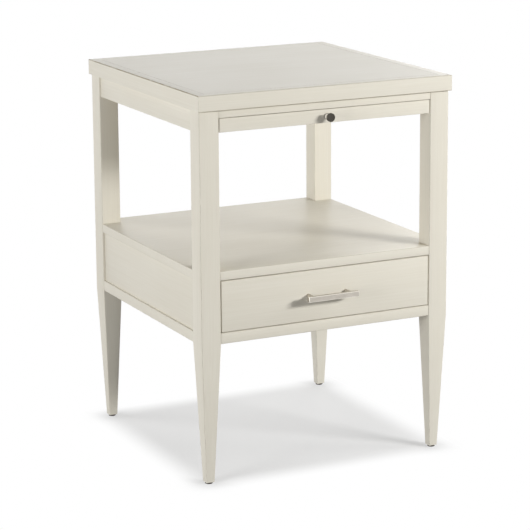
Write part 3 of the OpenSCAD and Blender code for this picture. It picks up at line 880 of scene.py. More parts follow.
def ease(mesh: BMesh, edges: Sequence[BMEdge], width: float, steps: int = 3, glaze: float = 1.0) -> None:
    """Rounds edges over and marks the rounding as an edge for the finish.

    Args:
        mesh: The mesh.
        edges: The edges to round.
        width: How far the rounding reaches from each edge.
        steps: The number of faces across it.
        glaze: How much of the finish's edge colour the rounding shows.
    """
    shape = {"segments": steps, "profile": 0.5, "affect": "EDGES", "clamp_overlap": True}
    rounded = bmesh.ops.bevel(mesh, geom=list(edges), offset=width, **shape)
    mark(mesh, EDGE, rounded["faces"], glaze)


def rectangle(low: Vector, high: Vector) -> list[Point]:
    """Returns a box's corners in X and Y, anticlockwise from the front left one."""
    return [(low.x, low.y), (high.x, low.y), (high.x, high.y), (low.x, high.y)]


def prism(outline: Sequence[Point], low: float, high: float) -> BMesh:
    """Raises a flat outline into a board.

    Args:
        outline: The corners in X and Y, in order.
        low: The height of its underside.
        high: The height of its top.

    Returns:
        The mesh.
    """
    mesh = bmesh.new()
    base = mesh.faces.new([mesh.verts.new((x, y, low)) for x, y in outline])
    raised = bmesh.ops.extrude_face_region(mesh, geom=[base])
    verts = [part for part in raised["geom"] if isinstance(part, bmesh.types.BMVert)]
    bmesh.ops.translate(mesh, verts=verts, vec=(0, 0, high - low))
    bmesh.ops.recalc_face_normals(mesh, faces=mesh.faces)
    return mesh


def slab(low: Vector, high: Vector) -> BMesh:
    """Returns a board with square edges between two corners."""
    return prism(rectangle(low, high), low.z, high.z)


def lathe(profile: Sequence[Point], foot: Vector, aim: Vector, steps: int) -> BMesh:
    """Turns a profile round an axis.

    Args:
        profile: Pairs of distance along the axis and radius, from end to end; the ends get closed.
        foot: The point where the axis starts.
        aim: The unit vector along the axis.
        steps: The number of faces round it.

    Returns:
        The mesh.
    """
    mesh = bmesh.new()
    turn = Vector((0, 0, 1)).rotation_difference(aim).to_matrix()
    angles = [2 * math.pi * k / steps for k in range(steps)]
    rings = []
    for reach, radius in profile:
        points = (Vector((radius * math.cos(a), radius * math.sin(a), reach)) for a in angles)
        rings.append([mesh.verts.new(foot + turn @ p) for p in points])
    for ring, following in zip(rings, rings[1:]):
        for k in range(steps):
            after = (k + 1) % steps
            mesh.faces.new((ring[k], ring[after], following[after], following[k]))
    mesh.faces.new(rings[0])
    mesh.faces.new(rings[-1])
    return mesh


def quarter(place: Callable[[float, float], Point], first: int = 0, steps: int = 4) -> list[Point]:
    """Follows a profile round a quarter turn.

    Args:
        place: Gives the profile's point for the sine and cosine of an angle.
        first: The step that it starts with.
        steps: The number of steps in the quarter.

    Returns:
        The points.
    """
    turns = [QUARTER * k / steps for k in range(first, steps + 1)]
    return [place(math.sin(turn), math.cos(turn)) for turn in turns]


def level_at(edge: BMEdge, height: float) -> bool:
    """Tells whether an edge lies level at a height."""
    return all(abs(v.co.z - height) < TOUCH for v in edge.verts)


@dataclass
class Assembly:
    """What the pieces and sub-assemblies share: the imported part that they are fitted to."""

    frame: Frame


@dataclass
class Board(Assembly):
    """A rectangular lacquered board: where it is comes from its CAD node, and its easing from here."""

    node: str
    along: Along = Along.WIDTH
    easing: float = 0.9 * MM
    glaze: float = 0.3
    behind: str = ""

    def build(self) -> None:
        """Builds the board, from behind another one where it has one in front of it."""
        low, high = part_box(self.node)
        if self.behind:
            low = Vector((low.x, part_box(self.behind)[1].y, low.z))
        mesh = slab(low, high)
        ease(mesh, mesh.edges[:], self.easing, glaze=self.glaze)
        self.frame.place(self.node, "board", mesh, Lacquer(along=self.along))


@dataclass
class NotchedBoard(Assembly):
    """A board that goes round the four legs, such as the shelf."""

    node: str
    legs: tuple[str, str] = ("leg_front_left", "leg_back_left")
    notch_gap: float = 0.2 * MM
    easing: float = 0.8 * MM
    glaze: float = 0.3

    def outline(self, low: Vector, high: Vector) -> list[Point]:
        """Returns the board's corners in order, with a notch at each leg.

        Args:
            low: The lowest corner of its box.
            high: The highest corner of its box.

        Returns:
            The corners in X and Y.
        """
        front, back = (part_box(leg) for leg in self.legs)
        x_in = -front[1].x - self.notch_gap
        y_front = front[1].y + self.notch_gap
        y_back = back[0].y - self.notch_gap
        right = [(x_in, low.y), (x_in, y_front), (high.x, y_front)]
        right += [(high.x, y_back), (x_in, y_back), (x_in, high.y)]
        return right + [(-x, y) for x, y in reversed(right)]

    def build(self) -> None:
        """Builds the board and eases its level edges."""
        low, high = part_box(self.node)
        mesh = prism(self.outline(low, high), low.z, high.z)
        flat = [e for e in mesh.edges if level_at(e, e.verts[0].co.z)]
        ease(mesh, flat, self.easing, glaze=self.glaze)
        self.frame.place(self.node, "board", mesh, Lacquer())


@dataclass
class Lipping(Assembly):
    """One mitred lipping of the top, and how much brown glaze, partly painted shade, lies in its upper and
    lower arris.
    """

    side: str
    along: Along
    first: int
    upper_glaze_and_shade: float
    lower_glaze_and_shade: float
    upper_easing: float = 1.4 * MM
    lower_easing: float = 0.8 * MM
    corner_easing: float = 0.35 * MM
    joint_easing: float = 0.35 * MM

    def build(self) -> None:
        """Builds the lipping between two corners of the top and two of the core."""
        low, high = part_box("top_core")
        outer = rectangle(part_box("top_lipping_front")[0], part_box("top_lipping_back")[1])
        inner = rectangle(low, high)
        second = (self.first + 1) % len(outer)
        ends = {outer[self.first], outer[second]}
        joint = (inner[self.first], inner[second])
        mesh = prism([outer[self.first], outer[second], joint[1], joint[0]], low.z, high.z)
        for height, easing, steps, glaze in (
            (high.z, self.upper_easing, 4, self.upper_glaze_and_shade),
            (low.z, self.lower_easing, 3, self.lower_glaze_and_shade),
        ):
            arris = [e for e in mesh.edges if level_at(e, height) and self.runs_between(e, ends)]
            ease(mesh, arris, easing, steps, glaze)
        ease(mesh, [e for e in mesh.edges if self.is_corner(e, ends)], self.corner_easing, steps=1)
        seam = [e for e in mesh.edges if level_at(e, high.z) and self.is_on(e, *joint)]
        ease(mesh, seam, self.joint_easing, steps=1)
        self.frame.place(f"top_lipping_{self.side}", "board", mesh, Lacquer(along=self.along))

    @staticmethod
    def runs_between(edge: BMEdge, ends: set[Point]) -> bool:
        """Tells whether an edge runs from one of two points of the outline to the other.

        Args:
            edge: The edge.
            ends: The two points.

        Returns:
            Whether it does, to within a millimetre.
        """
        nearest = [min((math.dist(end, v.co.xy), end) for end in ends) for v in edge.verts]
        return all(gap < MM for gap, _ in nearest) and {end for _, end in nearest} == ends

    @staticmethod
    def is_corner(edge: BMEdge, ends: set[Point]) -> bool:
        """Tells whether an edge stands upright at one of two points of the outline.

        Args:
            edge: The edge.
            ends: The two points.

        Returns:
            Whether it does.
        """
        start, end = (v.co for v in edge.verts)
        upright = math.dist(start.xy, end.xy) < TOUCH < abs(start.z - end.z)
        return upright and min(math.dist(start.xy, point) for point in ends) < TOUCH

    @staticmethod
    def is_on(edge: BMEdge, start: Point, end: Point) -> bool:
        """Tells whether an edge lies on the line between two points, seen from above.

        Args:
            edge: The edge.
            start: The first point.
            end: The second point.

        Returns:
            Whether it does.
        """
        line = Vector(end) - Vector(start)
        offsets = [(v.co.xy - Vector(start)).cross(line) / line.length for v in edge.verts]
        return all(abs(offset) < TOUCH for offset in offsets)


@dataclass
class Top(Assembly):
    """The top: a veneered core between four mitred lippings, with its outer edges eased."""

    joint_easing: float = 0.35 * MM

    def build(self) -> None:
        """Builds the core, with a fine groove where it meets the lippings, and then the lippings."""
        low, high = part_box("top_core")
        mesh = slab(low, high)
        ease(mesh, [e for e in mesh.edges if level_at(e, high.z)], self.joint_easing, steps=1)
        self.frame.place("top_core", "board", mesh, Lacquer())
        # These amounts are partly painted shade. The lower front arris is darkened as the shadow under the
        # top's front overhang. The upper left arris, on the shaded side, takes more than the lit front.
        for side, along, first, upper_glaze_and_shade, lower_glaze_and_shade in (
            ("front", Along.WIDTH, 0, 0.35, 1.0),
            ("back", Along.WIDTH, 2, 0.6, 0.2),
            ("left", Along.DEPTH, 3, 1.0, 0.0),
            ("right", Along.DEPTH, 1, 0.7, 0.2),
        ):
            Lipping(self.frame, side, along, first, upper_glaze_and_shade, lower_glaze_and_shade).build()


@dataclass
class ByRule(Assembly):
    """A piece that a geometry-nodes tree with named inputs makes from loose points, run once."""

    node: str

    def draw(self, tree: Tree, entry: Value, sizes: dict[str, Value]) -> Value:
        """Adds the nodes that make the piece; each kind of piece has its own."""
        raise NotImplementedError

    def grow(self, points: BMesh, finish: Finish, sizes: dict[str, float | tuple]) -> BMesh:
        """Builds the tree, runs it on the points and keeps what it makes as a plain mesh.

        Args:
            points: The points that it starts from, which are freed.
            finish: The finish whose material it sets.
            sizes: The named inputs.

        Returns:
            The mesh, open for further work.
        """
        name = f"{self.node}_rule"
        inputs = sizes | {"Material": finish.material()}
        group = bpy.data.node_groups.new(name, "GeometryNodeTree")
        for way in ("INPUT", "OUTPUT"):
            group.interface.new_socket("Geometry", in_out=way, socket_type="NodeSocketGeometry")
        identifiers = {}
        for title, setting in inputs.items():
            kind = SOCKETS[type(setting)]
            socket = group.interface.new_socket(title, in_out="INPUT", socket_type=kind)
            identifiers[title] = socket.identifier
        tree = Tree(group)
        entry = tree.node("NodeGroupInput")
        drawn = self.draw(tree, entry, {title: entry.output(title) for title in inputs})
        realised = tree.node("GeometryNodeRealizeInstances", {}, {"Geometry": drawn})
        dressed = {"Geometry": realised, "Material": entry.output("Material")}
        tree.node("NodeGroupOutput", {}, {0: tree.node("GeometryNodeSetMaterial", {}, dressed)})
        host = linked(name, closed(name, points))
        modifier = host.modifiers.new(name, "NODES")
        modifier.node_group = group
        for title, setting in inputs.items():
            modifier[identifiers[title]] = setting
        evaluated = host.evaluated_get(bpy.context.evaluated_depsgraph_get())
        made = bpy.data.meshes.new_from_object(evaluated)
        bpy.data.objects.remove(host)
        return opened(made)


def points_at(aimed: Iterable[tuple[Vector, Vector]]) -> BMesh:
    """Makes loose points that carry a vector each, such as the direction in which a screw points.

    Args:
        aimed: Pairs of place and vector.

    Returns:
        The mesh of points.
    """
    mesh = bmesh.new()
    layer = mesh.verts.layers.float_vector.new(AIM)
    for place, aim in aimed:
        mesh.verts.new(place)[layer] = aim
    return mesh


@dataclass
class Leg(ByRule):
    """A leg by rule: a square post with rounded corners, straight down to the case, then tapered."""

    corner: float = 1.6 * MM
    corner_faces: int = 4
    glaze: float = 0.15
    foot_flat: float = 0.05 * MM
    square_on: float = 0.96

    def draw(self, tree: Tree, entry: Value, sizes: dict[str, Value]) -> Value:
        """Adds a line with three points, a radius at each, and a rounded square swept along it.

        Args:
            tree: The tree.
            entry: The incoming points, of which there are none.
            sizes: The named inputs.

        Returns:
            The leg's geometry.
        """

        def up(height: Value) -> Value:
            """Returns a point on the leg's axis."""
            return sizes["Place"] + tree.vector(z=height)

        def at(number: int) -> Value:
            """Tells which point is the numbered one."""
            settings = {"data_type": "INT", "operation": "EQUAL"}
            return tree.node("FunctionNodeCompare", settings, {"A_INT": index, "B_INT": number}, "Result")

        ends = {"Start": up(sizes["Foot Height"]), "End": up(sizes["Top Height"])}
        line = tree.node("GeometryNodeCurvePrimitiveLine", {}, ends)
        split = tree.node("GeometryNodeSubdivideCurve", {}, {"Curve": line, "Cuts": 1})
        index = tree.node("GeometryNodeInputIndex")
        inputs = {"Geometry": split, "Selection": at(1), "Position": up(sizes["Taper Height"])}
        bent = tree.node("GeometryNodeSetPosition", {}, inputs)
        shares = {"Switch": at(0), "False": 1.0, "True": sizes["Foot Share"]}
        share = tree.node("GeometryNodeSwitch", {"input_type": "FLOAT"}, shares)
        square = {"Width": sizes["Side"], "Height": sizes["Side"]}
        section = tree.node("GeometryNodeCurvePrimitiveQuadrilateral", {}, square)
        fillet = {"Count": self.corner_faces, "Radius": sizes["Corner"], "Limit Radius": True}
        rounded = tree.node("GeometryNodeFilletCurve", {"mode": "POLY"}, {"Curve": section} | fillet)
        swept = {"Curve": bent, "Profile Curve": rounded, "Scale": share, "Fill Caps": True}
        return tree.node("GeometryNodeCurveToMesh", {}, swept)

    def build(self) -> None:
        """Reads the taper from the bottom board and the foot, and marks the rounded corners."""
        low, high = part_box(self.node)
        middle, side = (low + high) / 2, high.x - low.x
        verts = [v.co for v in self.frame.nodes[self.node].data.vertices]
        centre = (low.x + high.x) / 2
        foot_half = max(abs(p.x - centre) for p in verts if p.z - low.z < self.foot_flat)
        finish = Lacquer(along=Along.HEIGHT)
        sizes = {
            "Place": (middle.x, middle.y, 0.0),
            "Side": side,
            "Foot Height": low.z,
            "Taper Height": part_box("bottom_board")[0].z,
            "Top Height": high.z,
            "Foot Share": foot_half * 2 / side,
            "Corner": self.corner,
        }
        mesh = self.grow(bmesh.new(), finish, sizes)
        bmesh.ops.remove_doubles(mesh, verts=mesh.verts, dist=TOUCH)
        bmesh.ops.recalc_face_normals(mesh, faces=mesh.faces)
        corners = [f for f in mesh.faces if max(abs(part) for part in f.normal) < self.square_on]
        mark(mesh, EDGE, corners, self.glaze)
        self.frame.place(self.node, "post", mesh, finish, smooth_below=30.0)


@dataclass
class Legs(Assembly):
    """The four legs."""

    def build(self) -> None:
        """Builds each leg."""
        for corner in ("front_left", "front_right", "back_left", "back_right"):
            Leg(self.frame, f"leg_{corner}").build()


@dataclass
class Screws(ByRule):
    """Screws with a cross recess, one for each solid of a CAD node; shares are of the screw's own sizes."""

    sunk: bool = True
    recess_share: float = 0.62
    recess_width: float = 0.9 * MM
    recess_depth: float = 1.3 * MM
    deepest_share: float = 0.7
    head_faces: int = 32
    shank_faces: int = 20
    under_share: float = 0.96
    tip_share: float = 0.12
    tip_width_share: float = 0.3
    shank_start_share: float = 0.8

    def draw(self, tree: Tree, entry: Value, sizes: dict[str, Value]) -> Value:
        """Adds a head with a cross cut into it, a shank with a tip, and one instance per point.

        Args:
            tree: The tree.
            entry: The incoming points, whose vector turns each screw.
            sizes: The named inputs.

        Returns:
            The instances.
        """

        def moved(geometry: Value, height: Feed) -> Value:
            """Lifts a part of the screw along its axis."""
            inputs = {"Geometry": geometry, "Translation": tree.vector(z=height)}
            return tree.node("GeometryNodeTransform", {}, inputs)

        def turned(kind: str, faces: int, inputs: dict[str, Feed]) -> Value:
            """Adds a round part of the screw."""
            return tree.node(f"GeometryNodeMesh{kind}", {}, {"Vertices": faces} | inputs, "Mesh")

        radius, shank_radius = sizes["Head Width"] * 0.5, sizes["Shank Width"] * 0.5
        under = shank_radius if self.sunk else radius * self.under_share
        cone = {"Radius Bottom": radius, "Radius Top": under, "Depth": sizes["Head Height"]}
        head = turned("Cone", self.head_faces, cone)
        length, width, depth = (sizes[f"Recess {title}"] for title in ("Length", "Width", "Depth"))
        cuts = [
            tree.node("GeometryNodeMeshCube", {}, {"Size": tree.vector(*bar, depth)}, "Mesh")
            for bar in ((length, width), (width, length))
        ]
        settings = {"operation": "DIFFERENCE", "solver": "EXACT"}
        cross = tree.node("GeometryNodeMeshBoolean", settings, {"Mesh 1": head, "Mesh 2": cuts}, "Mesh")
        tip = sizes["Length"] * self.tip_share
        start = sizes["Head Height"] * self.shank_start_share
        run = sizes["Length"] - tip - start
        shank = turned("Cylinder", self.shank_faces, {"Radius": shank_radius, "Depth": run})
        tip_radius = shank_radius * self.tip_width_share
        cone = {"Radius Bottom": shank_radius, "Radius Top": tip_radius, "Depth": tip}
        point = turned("Cone", self.shank_faces, cone)
        parts = [cross, moved(shank, start + run * 0.5), moved(point, sizes["Length"] - tip)]
        screw = tree.node("GeometryNodeJoinGeometry", {}, {"Geometry": parts})
        turn = tree.node("FunctionNodeAlignRotationToVector", {"axis": "Z"}, {"Vector": tree.aims()})
        inputs = {"Points": entry, "Instance": screw, "Rotation": turn}
        return tree.node("GeometryNodeInstanceOnPoints", {}, inputs)

    def build(self) -> None:
        """Reads the sizes of the first solid and builds a screw at each solid's head."""
        solids = self.frame.solids(self.node)
        first = solids[0]
        axis = first.length_axis
        head_width = (first.high - first.low)[(axis + 1) % 3]
        steps = sorted({round(abs(p[axis] - first.head[axis]), 6) for p in first.points})
        head_height, length = steps[1], steps[-1]
        tail = first.head[axis] + first.aim[axis] * length
        sizes = {
            "Head Width": head_width,
            "Head Height": head_height,
            "Shank Width": 2 * first.spread(tail),
            "Length": length,
            "Recess Length": head_width * self.recess_share,
            "Recess Width": self.recess_width,
            "Recess Depth": 2 * min(self.recess_depth, head_height * self.deepest_share),
        }
        mesh = self.grow(points_at((s.head, s.aim) for s in solids), ZINC, sizes)
        self.frame.place(self.node, "crosshead", mesh, ZINC, smooth_below=30.0)


@dataclass
class Balls(ByRule):
    """The bearing balls of one slide, one for each solid of a CAD node."""

    rings: int = 10

    def draw(self, tree: Tree, entry: Value, sizes: dict[str, Value]) -> Value:
        """Adds one ball at each point, scaled by the point's own vector.

        Args:
            tree: The tree.
            entry: The incoming points, whose vector holds each ball's diameters.
            sizes: The named inputs.

        Returns:
            The instances.
        """
        round_ball = {"Segments": 2 * self.rings, "Rings": self.rings, "Radius": 0.5}
        ball = tree.node("GeometryNodeMeshUVSphere", {}, round_ball, "Mesh")
        inputs = {"Points": entry, "Instance": ball, "Scale": tree.aims() * sizes["Share"]}
        return tree.node("GeometryNodeInstanceOnPoints", {}, inputs)

    def build(self) -> None:
        """Builds a ball in place of each solid."""
        points = points_at((s.centre, s.high - s.low) for s in self.frame.solids(self.node))
        mesh = self.grow(points, ZINC, {"Share": 1.0})
        self.frame.place(self.node, "bearing", mesh, ZINC, smooth_below=60.0)


@dataclass
class EasedCopy(Assembly):
    """A piece with holes, grooves or dovetails: its CAD solid with the long edges rounded over."""

    node: str
    finish: Finish
    easing: float = 0.5 * MM
    shortest: float = 6 * MM
    flat_below: float = 1.0
    sharp_above: float = 50.0

    def build(self) -> None:
        """Copies and merges the node's mesh, dissolves its flat faces, and eases its long outer edges."""
        mesh = self.frame.merged(self.node)
        flat = math.radians(self.flat_below)
        bmesh.ops.dissolve_limit(mesh, angle_limit=flat, verts=mesh.verts, edges=mesh.edges)
        ease(mesh, [e for e in mesh.edges if self.is_outer(e)], self.easing, steps=2)
        self.frame.place(self.node, "piece", mesh, self.finish, smooth_below=40.0)

    def is_outer(self, edge: BMEdge) -> bool:
        """Tells whether an edge is long, sharp and turned outwards.

        Args:
            edge: The edge.

        Returns:
            Whether it is.
        """
        if len(edge.link_faces) != 2 or edge.calc_length() < self.shortest:
            return False
        return edge.is_convex and edge.calc_face_angle() > math.radians(self.sharp_above)


@dataclass
class UpperFrame(Assembly):
    """The flat front rail, the aprons, and the screws that hold the top."""

    easing: float = 0.3 * MM
    glaze: float = 0.1

    def build(self) -> None:
        """Builds the boards, dowels and screws of the upper frame."""
        for node, along in {
            "front_top_rail": Along.WIDTH,
            "apron_left": Along.DEPTH,
            "apron_right": Along.DEPTH,
            "apron_back": Along.WIDTH,
        }.items():
            Board(self.frame, node, along, self.easing, self.glaze).build()
        self.frame.dress("apron_dowels", BEECH)
        Screws(self.frame, "top_screws").build()


@dataclass
class Knob(Assembly):
    """The turned knob of the tray: a dark round face on a neck painted bright as its highlight, with a
    small foot.

    Heights are distances from the foot along the axis. The dish of the face is given by the share of its
    depth that it has at each share of the face's radius.
    """

    dish: float = 0.15 * MM
    dish_shares: tuple[Point, ...] = ((0.6, 0.55), (1.0, 0.25))
    dish_middle: float = 0.3 * MM
    rim: float = 4 * MM
    soft: float = 0.9 * MM
    foot_edge: float = 0.5 * MM
    foot_height: float = 1.3 * MM
    cove_from: float = 1.6 * MM
    cove_height: float = 2.0 * MM
    flare_height: float = 1.6 * MM
    flare_width: float = 1.2 * MM
    neck_heights: Point = (4 * MM, 10 * MM)
    neck_usual: float = 3.2 * MM
    neck_most: float = 3.3 * MM
    highlight_from: float = 1.7 * MM
    highlight_ends: float = 4.2 * MM
    steps: int = 64

    def profile(self, length: float, face: float, neck: float, foot: float) -> list[Point]:
        """Returns the knob's profile from its foot to its face.

        Args:
            length: How far the knob stands out.
            face: The radius of its face.
            neck: The radius of its neck.
            foot: The radius of its foot.

        Returns:
            Pairs of distance along the axis and radius.
        """
        soft, edge, flare = self.soft, self.foot_edge, length - self.rim
        cove_width = foot - neck - edge
        points = [(0.0, foot - edge * 0.3), (edge * 0.5, foot), (self.foot_height, foot)]
        points += quarter(lambda s, _: (self.cove_from + self.cove_height * s, neck + cove_width * (1 - s)))
        points += quarter(lambda _, c: (flare - self.flare_height * c, neck + self.flare_width * (1 - c)))
        points += [(flare, face - soft)]
        points += quarter(lambda s, c: (flare + soft * (1 - c), face - soft + soft * s), 1)
        points += quarter(lambda s, c: (length - soft + soft * s, face - soft + soft * c))
        points += [(length - self.dish * deep, face * wide) for deep, wide in self.dish_shares]
        return points + [(length - self.dish, self.dish_middle)]

    def build(self) -> None:
        """Reads the knob's radii from its node, turns it, and paints a highlight onto its neck."""
        low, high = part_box("tray_knob")
        length, face = high.y - low.y, (high.x - low.x) / 2
        start = Vector(((low.x + high.x) / 2, high.y, (low.z + high.z) / 2))
        verts = [v.co for v in self.frame.nodes["tray_knob"].data.vertices]
        rings = [(high.y - p.y, math.hypot(p.x - start.x, p.z - start.z)) for p in verts]
        foot = max(radius for height, radius in rings if height < TOUCH)
        first, last = self.neck_heights
        between = [radius for height, radius in rings if first < height < last]
        neck = max(between, default=self.neck_usual)
        profile = self.profile(length, face, min(neck, self.neck_most), foot)
        mesh = lathe(profile, start, Vector((0, -1, 0)), self.steps)
        bmesh.ops.recalc_face_normals(mesh, faces=mesh.faces)
        # The neck's faces get the brighter metal as a painted highlight.
        heights = ((f, high.y - f.calc_center_median().y) for f in mesh.faces)
        bright = [f for f, height in heights if self.highlight_from < height < length - self.highlight_ends]
        mark(mesh, NECK_HIGHLIGHT, bright, 1.0)
        self.frame.place("tray_knob", "turned", mesh, PEWTER, smooth_below=40.0)


@dataclass
class Tray(Assembly):
    """The pull-out tray: its panel, its front strip, its knob, its stop and its grooved runners."""

    def build(self) -> None:
        """Builds the pieces of the tray and the runners that carry it."""
        Board(self.frame, "tray_panel", easing=0.7 * MM, behind="tray_front").build()
        Board(self.frame, "tray_front", easing=0.4 * MM).build()
        Knob(self.frame).build()
        EasedCopy(self.frame, "tray_stop", BIRCH).build()
        Screws(self.frame, "tray_stop_screws").build()
        Screws(self.frame, "tray_runner_screws").build()
        self.frame.dress("tray_knob_stud", ZINC)
        for side in ("left", "right"):
            EasedCopy(self.frame, f"tray_runner_{side}", BIRCH_DEEP, 0.6 * MM).build()


@dataclass
class Case(Assembly):
    """The shelf, the panels, the bottom board and the joints that hold them."""

    panel_easing: float = 0.4 * MM

    def build(self) -> None:
        """Builds the boards, dowels and screws of the case."""
        for node in ("shelf", "bottom_board"):
            NotchedBoard(self.frame, node).build()
        for node, along in {
            "side_panel_left": Along.DEPTH,
            "side_panel_right": Along.DEPTH,
            "back_panel": Along.WIDTH,
        }.items():
            Board(self.frame, node, along, self.panel_easing).build()
        for node in ("case_dowels", "shelf_dowels"):
            self.frame.dress(node, BEECH)
        Screws(self.frame, "board_screws").build()


@dataclass
class Slides(Assembly):
    """The two drawer slides: three nested channels, their balls, their cleats and their screws."""

    channel_easing: float = 0.25 * MM
    channel_shortest: float = 30 * MM

    def build(self) -> None:
        """Builds both slides."""
        steel = replace(ZINC, along=Along.DEPTH)
        for side in ("left", "right"):
            EasedCopy(self.frame, f"slide_cleat_{side}", BIRCH_DEEP).build()
            for channel in ("outer", "middle", "inner"):
                node = f"slide_{channel}_{side}"
                EasedCopy(self.frame, node, steel, self.channel_easing, self.channel_shortest).build()
            Balls(self.frame, f"slide_balls_{side}").build()
        recess = {"recess_share": 0.55, "recess_width": 0.8 * MM, "recess_depth": 0.6 * MM}
        for node in ("slide_screws_case", "slide_screws_drawer"):
            Screws(self.frame, node, sunk=False, **recess).build()


@dataclass
class Drawer(Assembly):
    """The drawer: its lacquered front on a dovetailed birch box."""

    front_easing: float = 0.7 * MM
    front_glaze: float = 0.4
    bottom_easing: float = 0.3 * MM
    side_shortest: float = 60 * MM

    def build(self) -> None:
        """Builds the front, the box and the screws that join them."""
        front = Board(self.frame, "drawer_front", easing=self.front_easing, glaze=self.front_glaze)
        front.build()
        for node, finish in {
            "drawer_side_left": BIRCH_DEEP,
            "drawer_side_right": BIRCH_DEEP,
            "drawer_box_front": BIRCH,
            "drawer_back": BIRCH,
        }.items():
            EasedCopy(self.frame, node, finish, shortest=self.side_shortest).build()
        EasedCopy(self.frame, "drawer_bottom", BIRCH, self.bottom_easing).build()
        Screws(self.frame, "drawer_front_screws").build()


@dataclass
class BarPull(Assembly):
    """The bar pull: a square-ended bar on two round posts, softened where they meet the drawer front; the
    bar's rounded edges carry a painted highlight.
    """

    easing: float = 0.9 * MM
    edge_highlight: float = 0.9
    soft: float = 0.4 * MM
    steps: int = 40

    def post(self, solid: Solid) -> bpy.types.Mesh:
        """Turns one post.

        Args:
            solid: The CAD solid that it takes the place of.

        Returns:
            The post.
        """
        size, soft = solid.high - solid.low, self.soft
        radius, length = size.x / 2, size.y
        foot = Vector((solid.centre.x, solid.high.y, solid.centre.z))
        profile = [(0.0, radius - soft), (soft * 0.4, radius - soft * 0.3)]
        profile += [(soft, radius), (length, radius)]
        return closed("post", lathe(profile, foot, Vector((0, -1, 0)), self.steps))

    def build(self) -> None:
        """Builds the bar, its posts and their screws."""
        mesh = slab(*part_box("handle_bar"))
        # The bar's rounded edges are painted with the brighter metal as its highlight.
        ease(mesh, mesh.edges[:], self.easing, 4, self.edge_highlight)
        self.frame.place("handle_bar", "drawn", mesh, NICKEL)
        posts = opened(*(self.post(solid) for solid in self.frame.solids("handle_posts")))
        self.frame.place("handle_posts", "turned", posts, replace(NICKEL, along=Along.DEPTH))
        recess = {"recess_share": 0.6, "recess_depth": 1.2 * MM}
        Screws(self.frame, "handle_screws", sunk=False, **recess).build()


@dataclass
class Glides(Assembly):
    """The four nail-on glides under the legs."""

    soft: float = 1.0 * MM
    sole: float = 0.1 * MM
    nail: float = 1.5 * MM
    nail_point: float = 2 * MM
    steps: int = 40

    def glide(self, solid: Solid) -> bpy.types.Mesh:
        """Turns one glide with a domed foot and its nail.

        Args:
            solid: The CAD solid that it takes the place of.

        Returns:
            The glide.
        """
        soft, nail = self.soft, self.nail
        radius = (solid.high.x - solid.low.x) / 2
        leg_foot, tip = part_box("leg_front_left")[0].z, solid.high.z
        profile = [(0.0, radius - soft * 1.4)]
        profile += quarter(lambda s, c: (self.sole + soft * (1 - c), radius - soft * (1 - s)))
        profile += [(leg_foot, radius), (leg_foot, nail), (tip - self.nail_point, nail), (tip, nail * 0.3)]
        foot = Vector((solid.centre.x, solid.centre.y, 0.0))
        return closed("glide", lathe(profile, foot, Vector((0, 0, 1)), self.steps))

    def build(self) -> None:
        """Builds the four glides as one piece."""
        glides = opened(*(self.glide(solid) for solid in self.frame.solids("foot_glides")))
        self.frame.place("foot_glides", "turned", glides, GLIDE)


@dataclass(frozen=True)
class Lamp:
    """A soft box that looks at the nightstand and that no camera sees.

    Azimuth runs from the front to the right, in degrees; level is the brightness that the lamp alone
    gives white that faces it at the target. A lamp that isn't in gloss leaves no highlight.
    """

    name: str
    azimuth: float
    elevation: float
    distance: float
    width: float
    height: float
    level: float
    in_gloss: bool = True
    target: tuple[float, float, float] = (0.0, -0.24, 0.40)

    def build(self) -> None:
        """Adds the lamp."""
        turn, rise = math.radians(self.azimuth), math.radians(self.elevation)
        way = Vector((math.sin(turn) * math.cos(rise), -math.cos(turn) * math.cos(rise), math.sin(rise)))
        data = bpy.data.lights.new(self.name, "AREA")
        data.shape = "RECTANGLE"
        data.size = self.width
        data.size_y = self.height
        data.energy = self.level * math.pi**2 * self.distance**2
        lamp = linked(self.name, data)
        lamp.location = Vector(self.target) + way * self.distance
        lamp.rotation_euler = way.to_track_quat("Z", "Y").to_euler()
        lamp.visible_camera = False
        lamp.visible_glossy = self.in_gloss


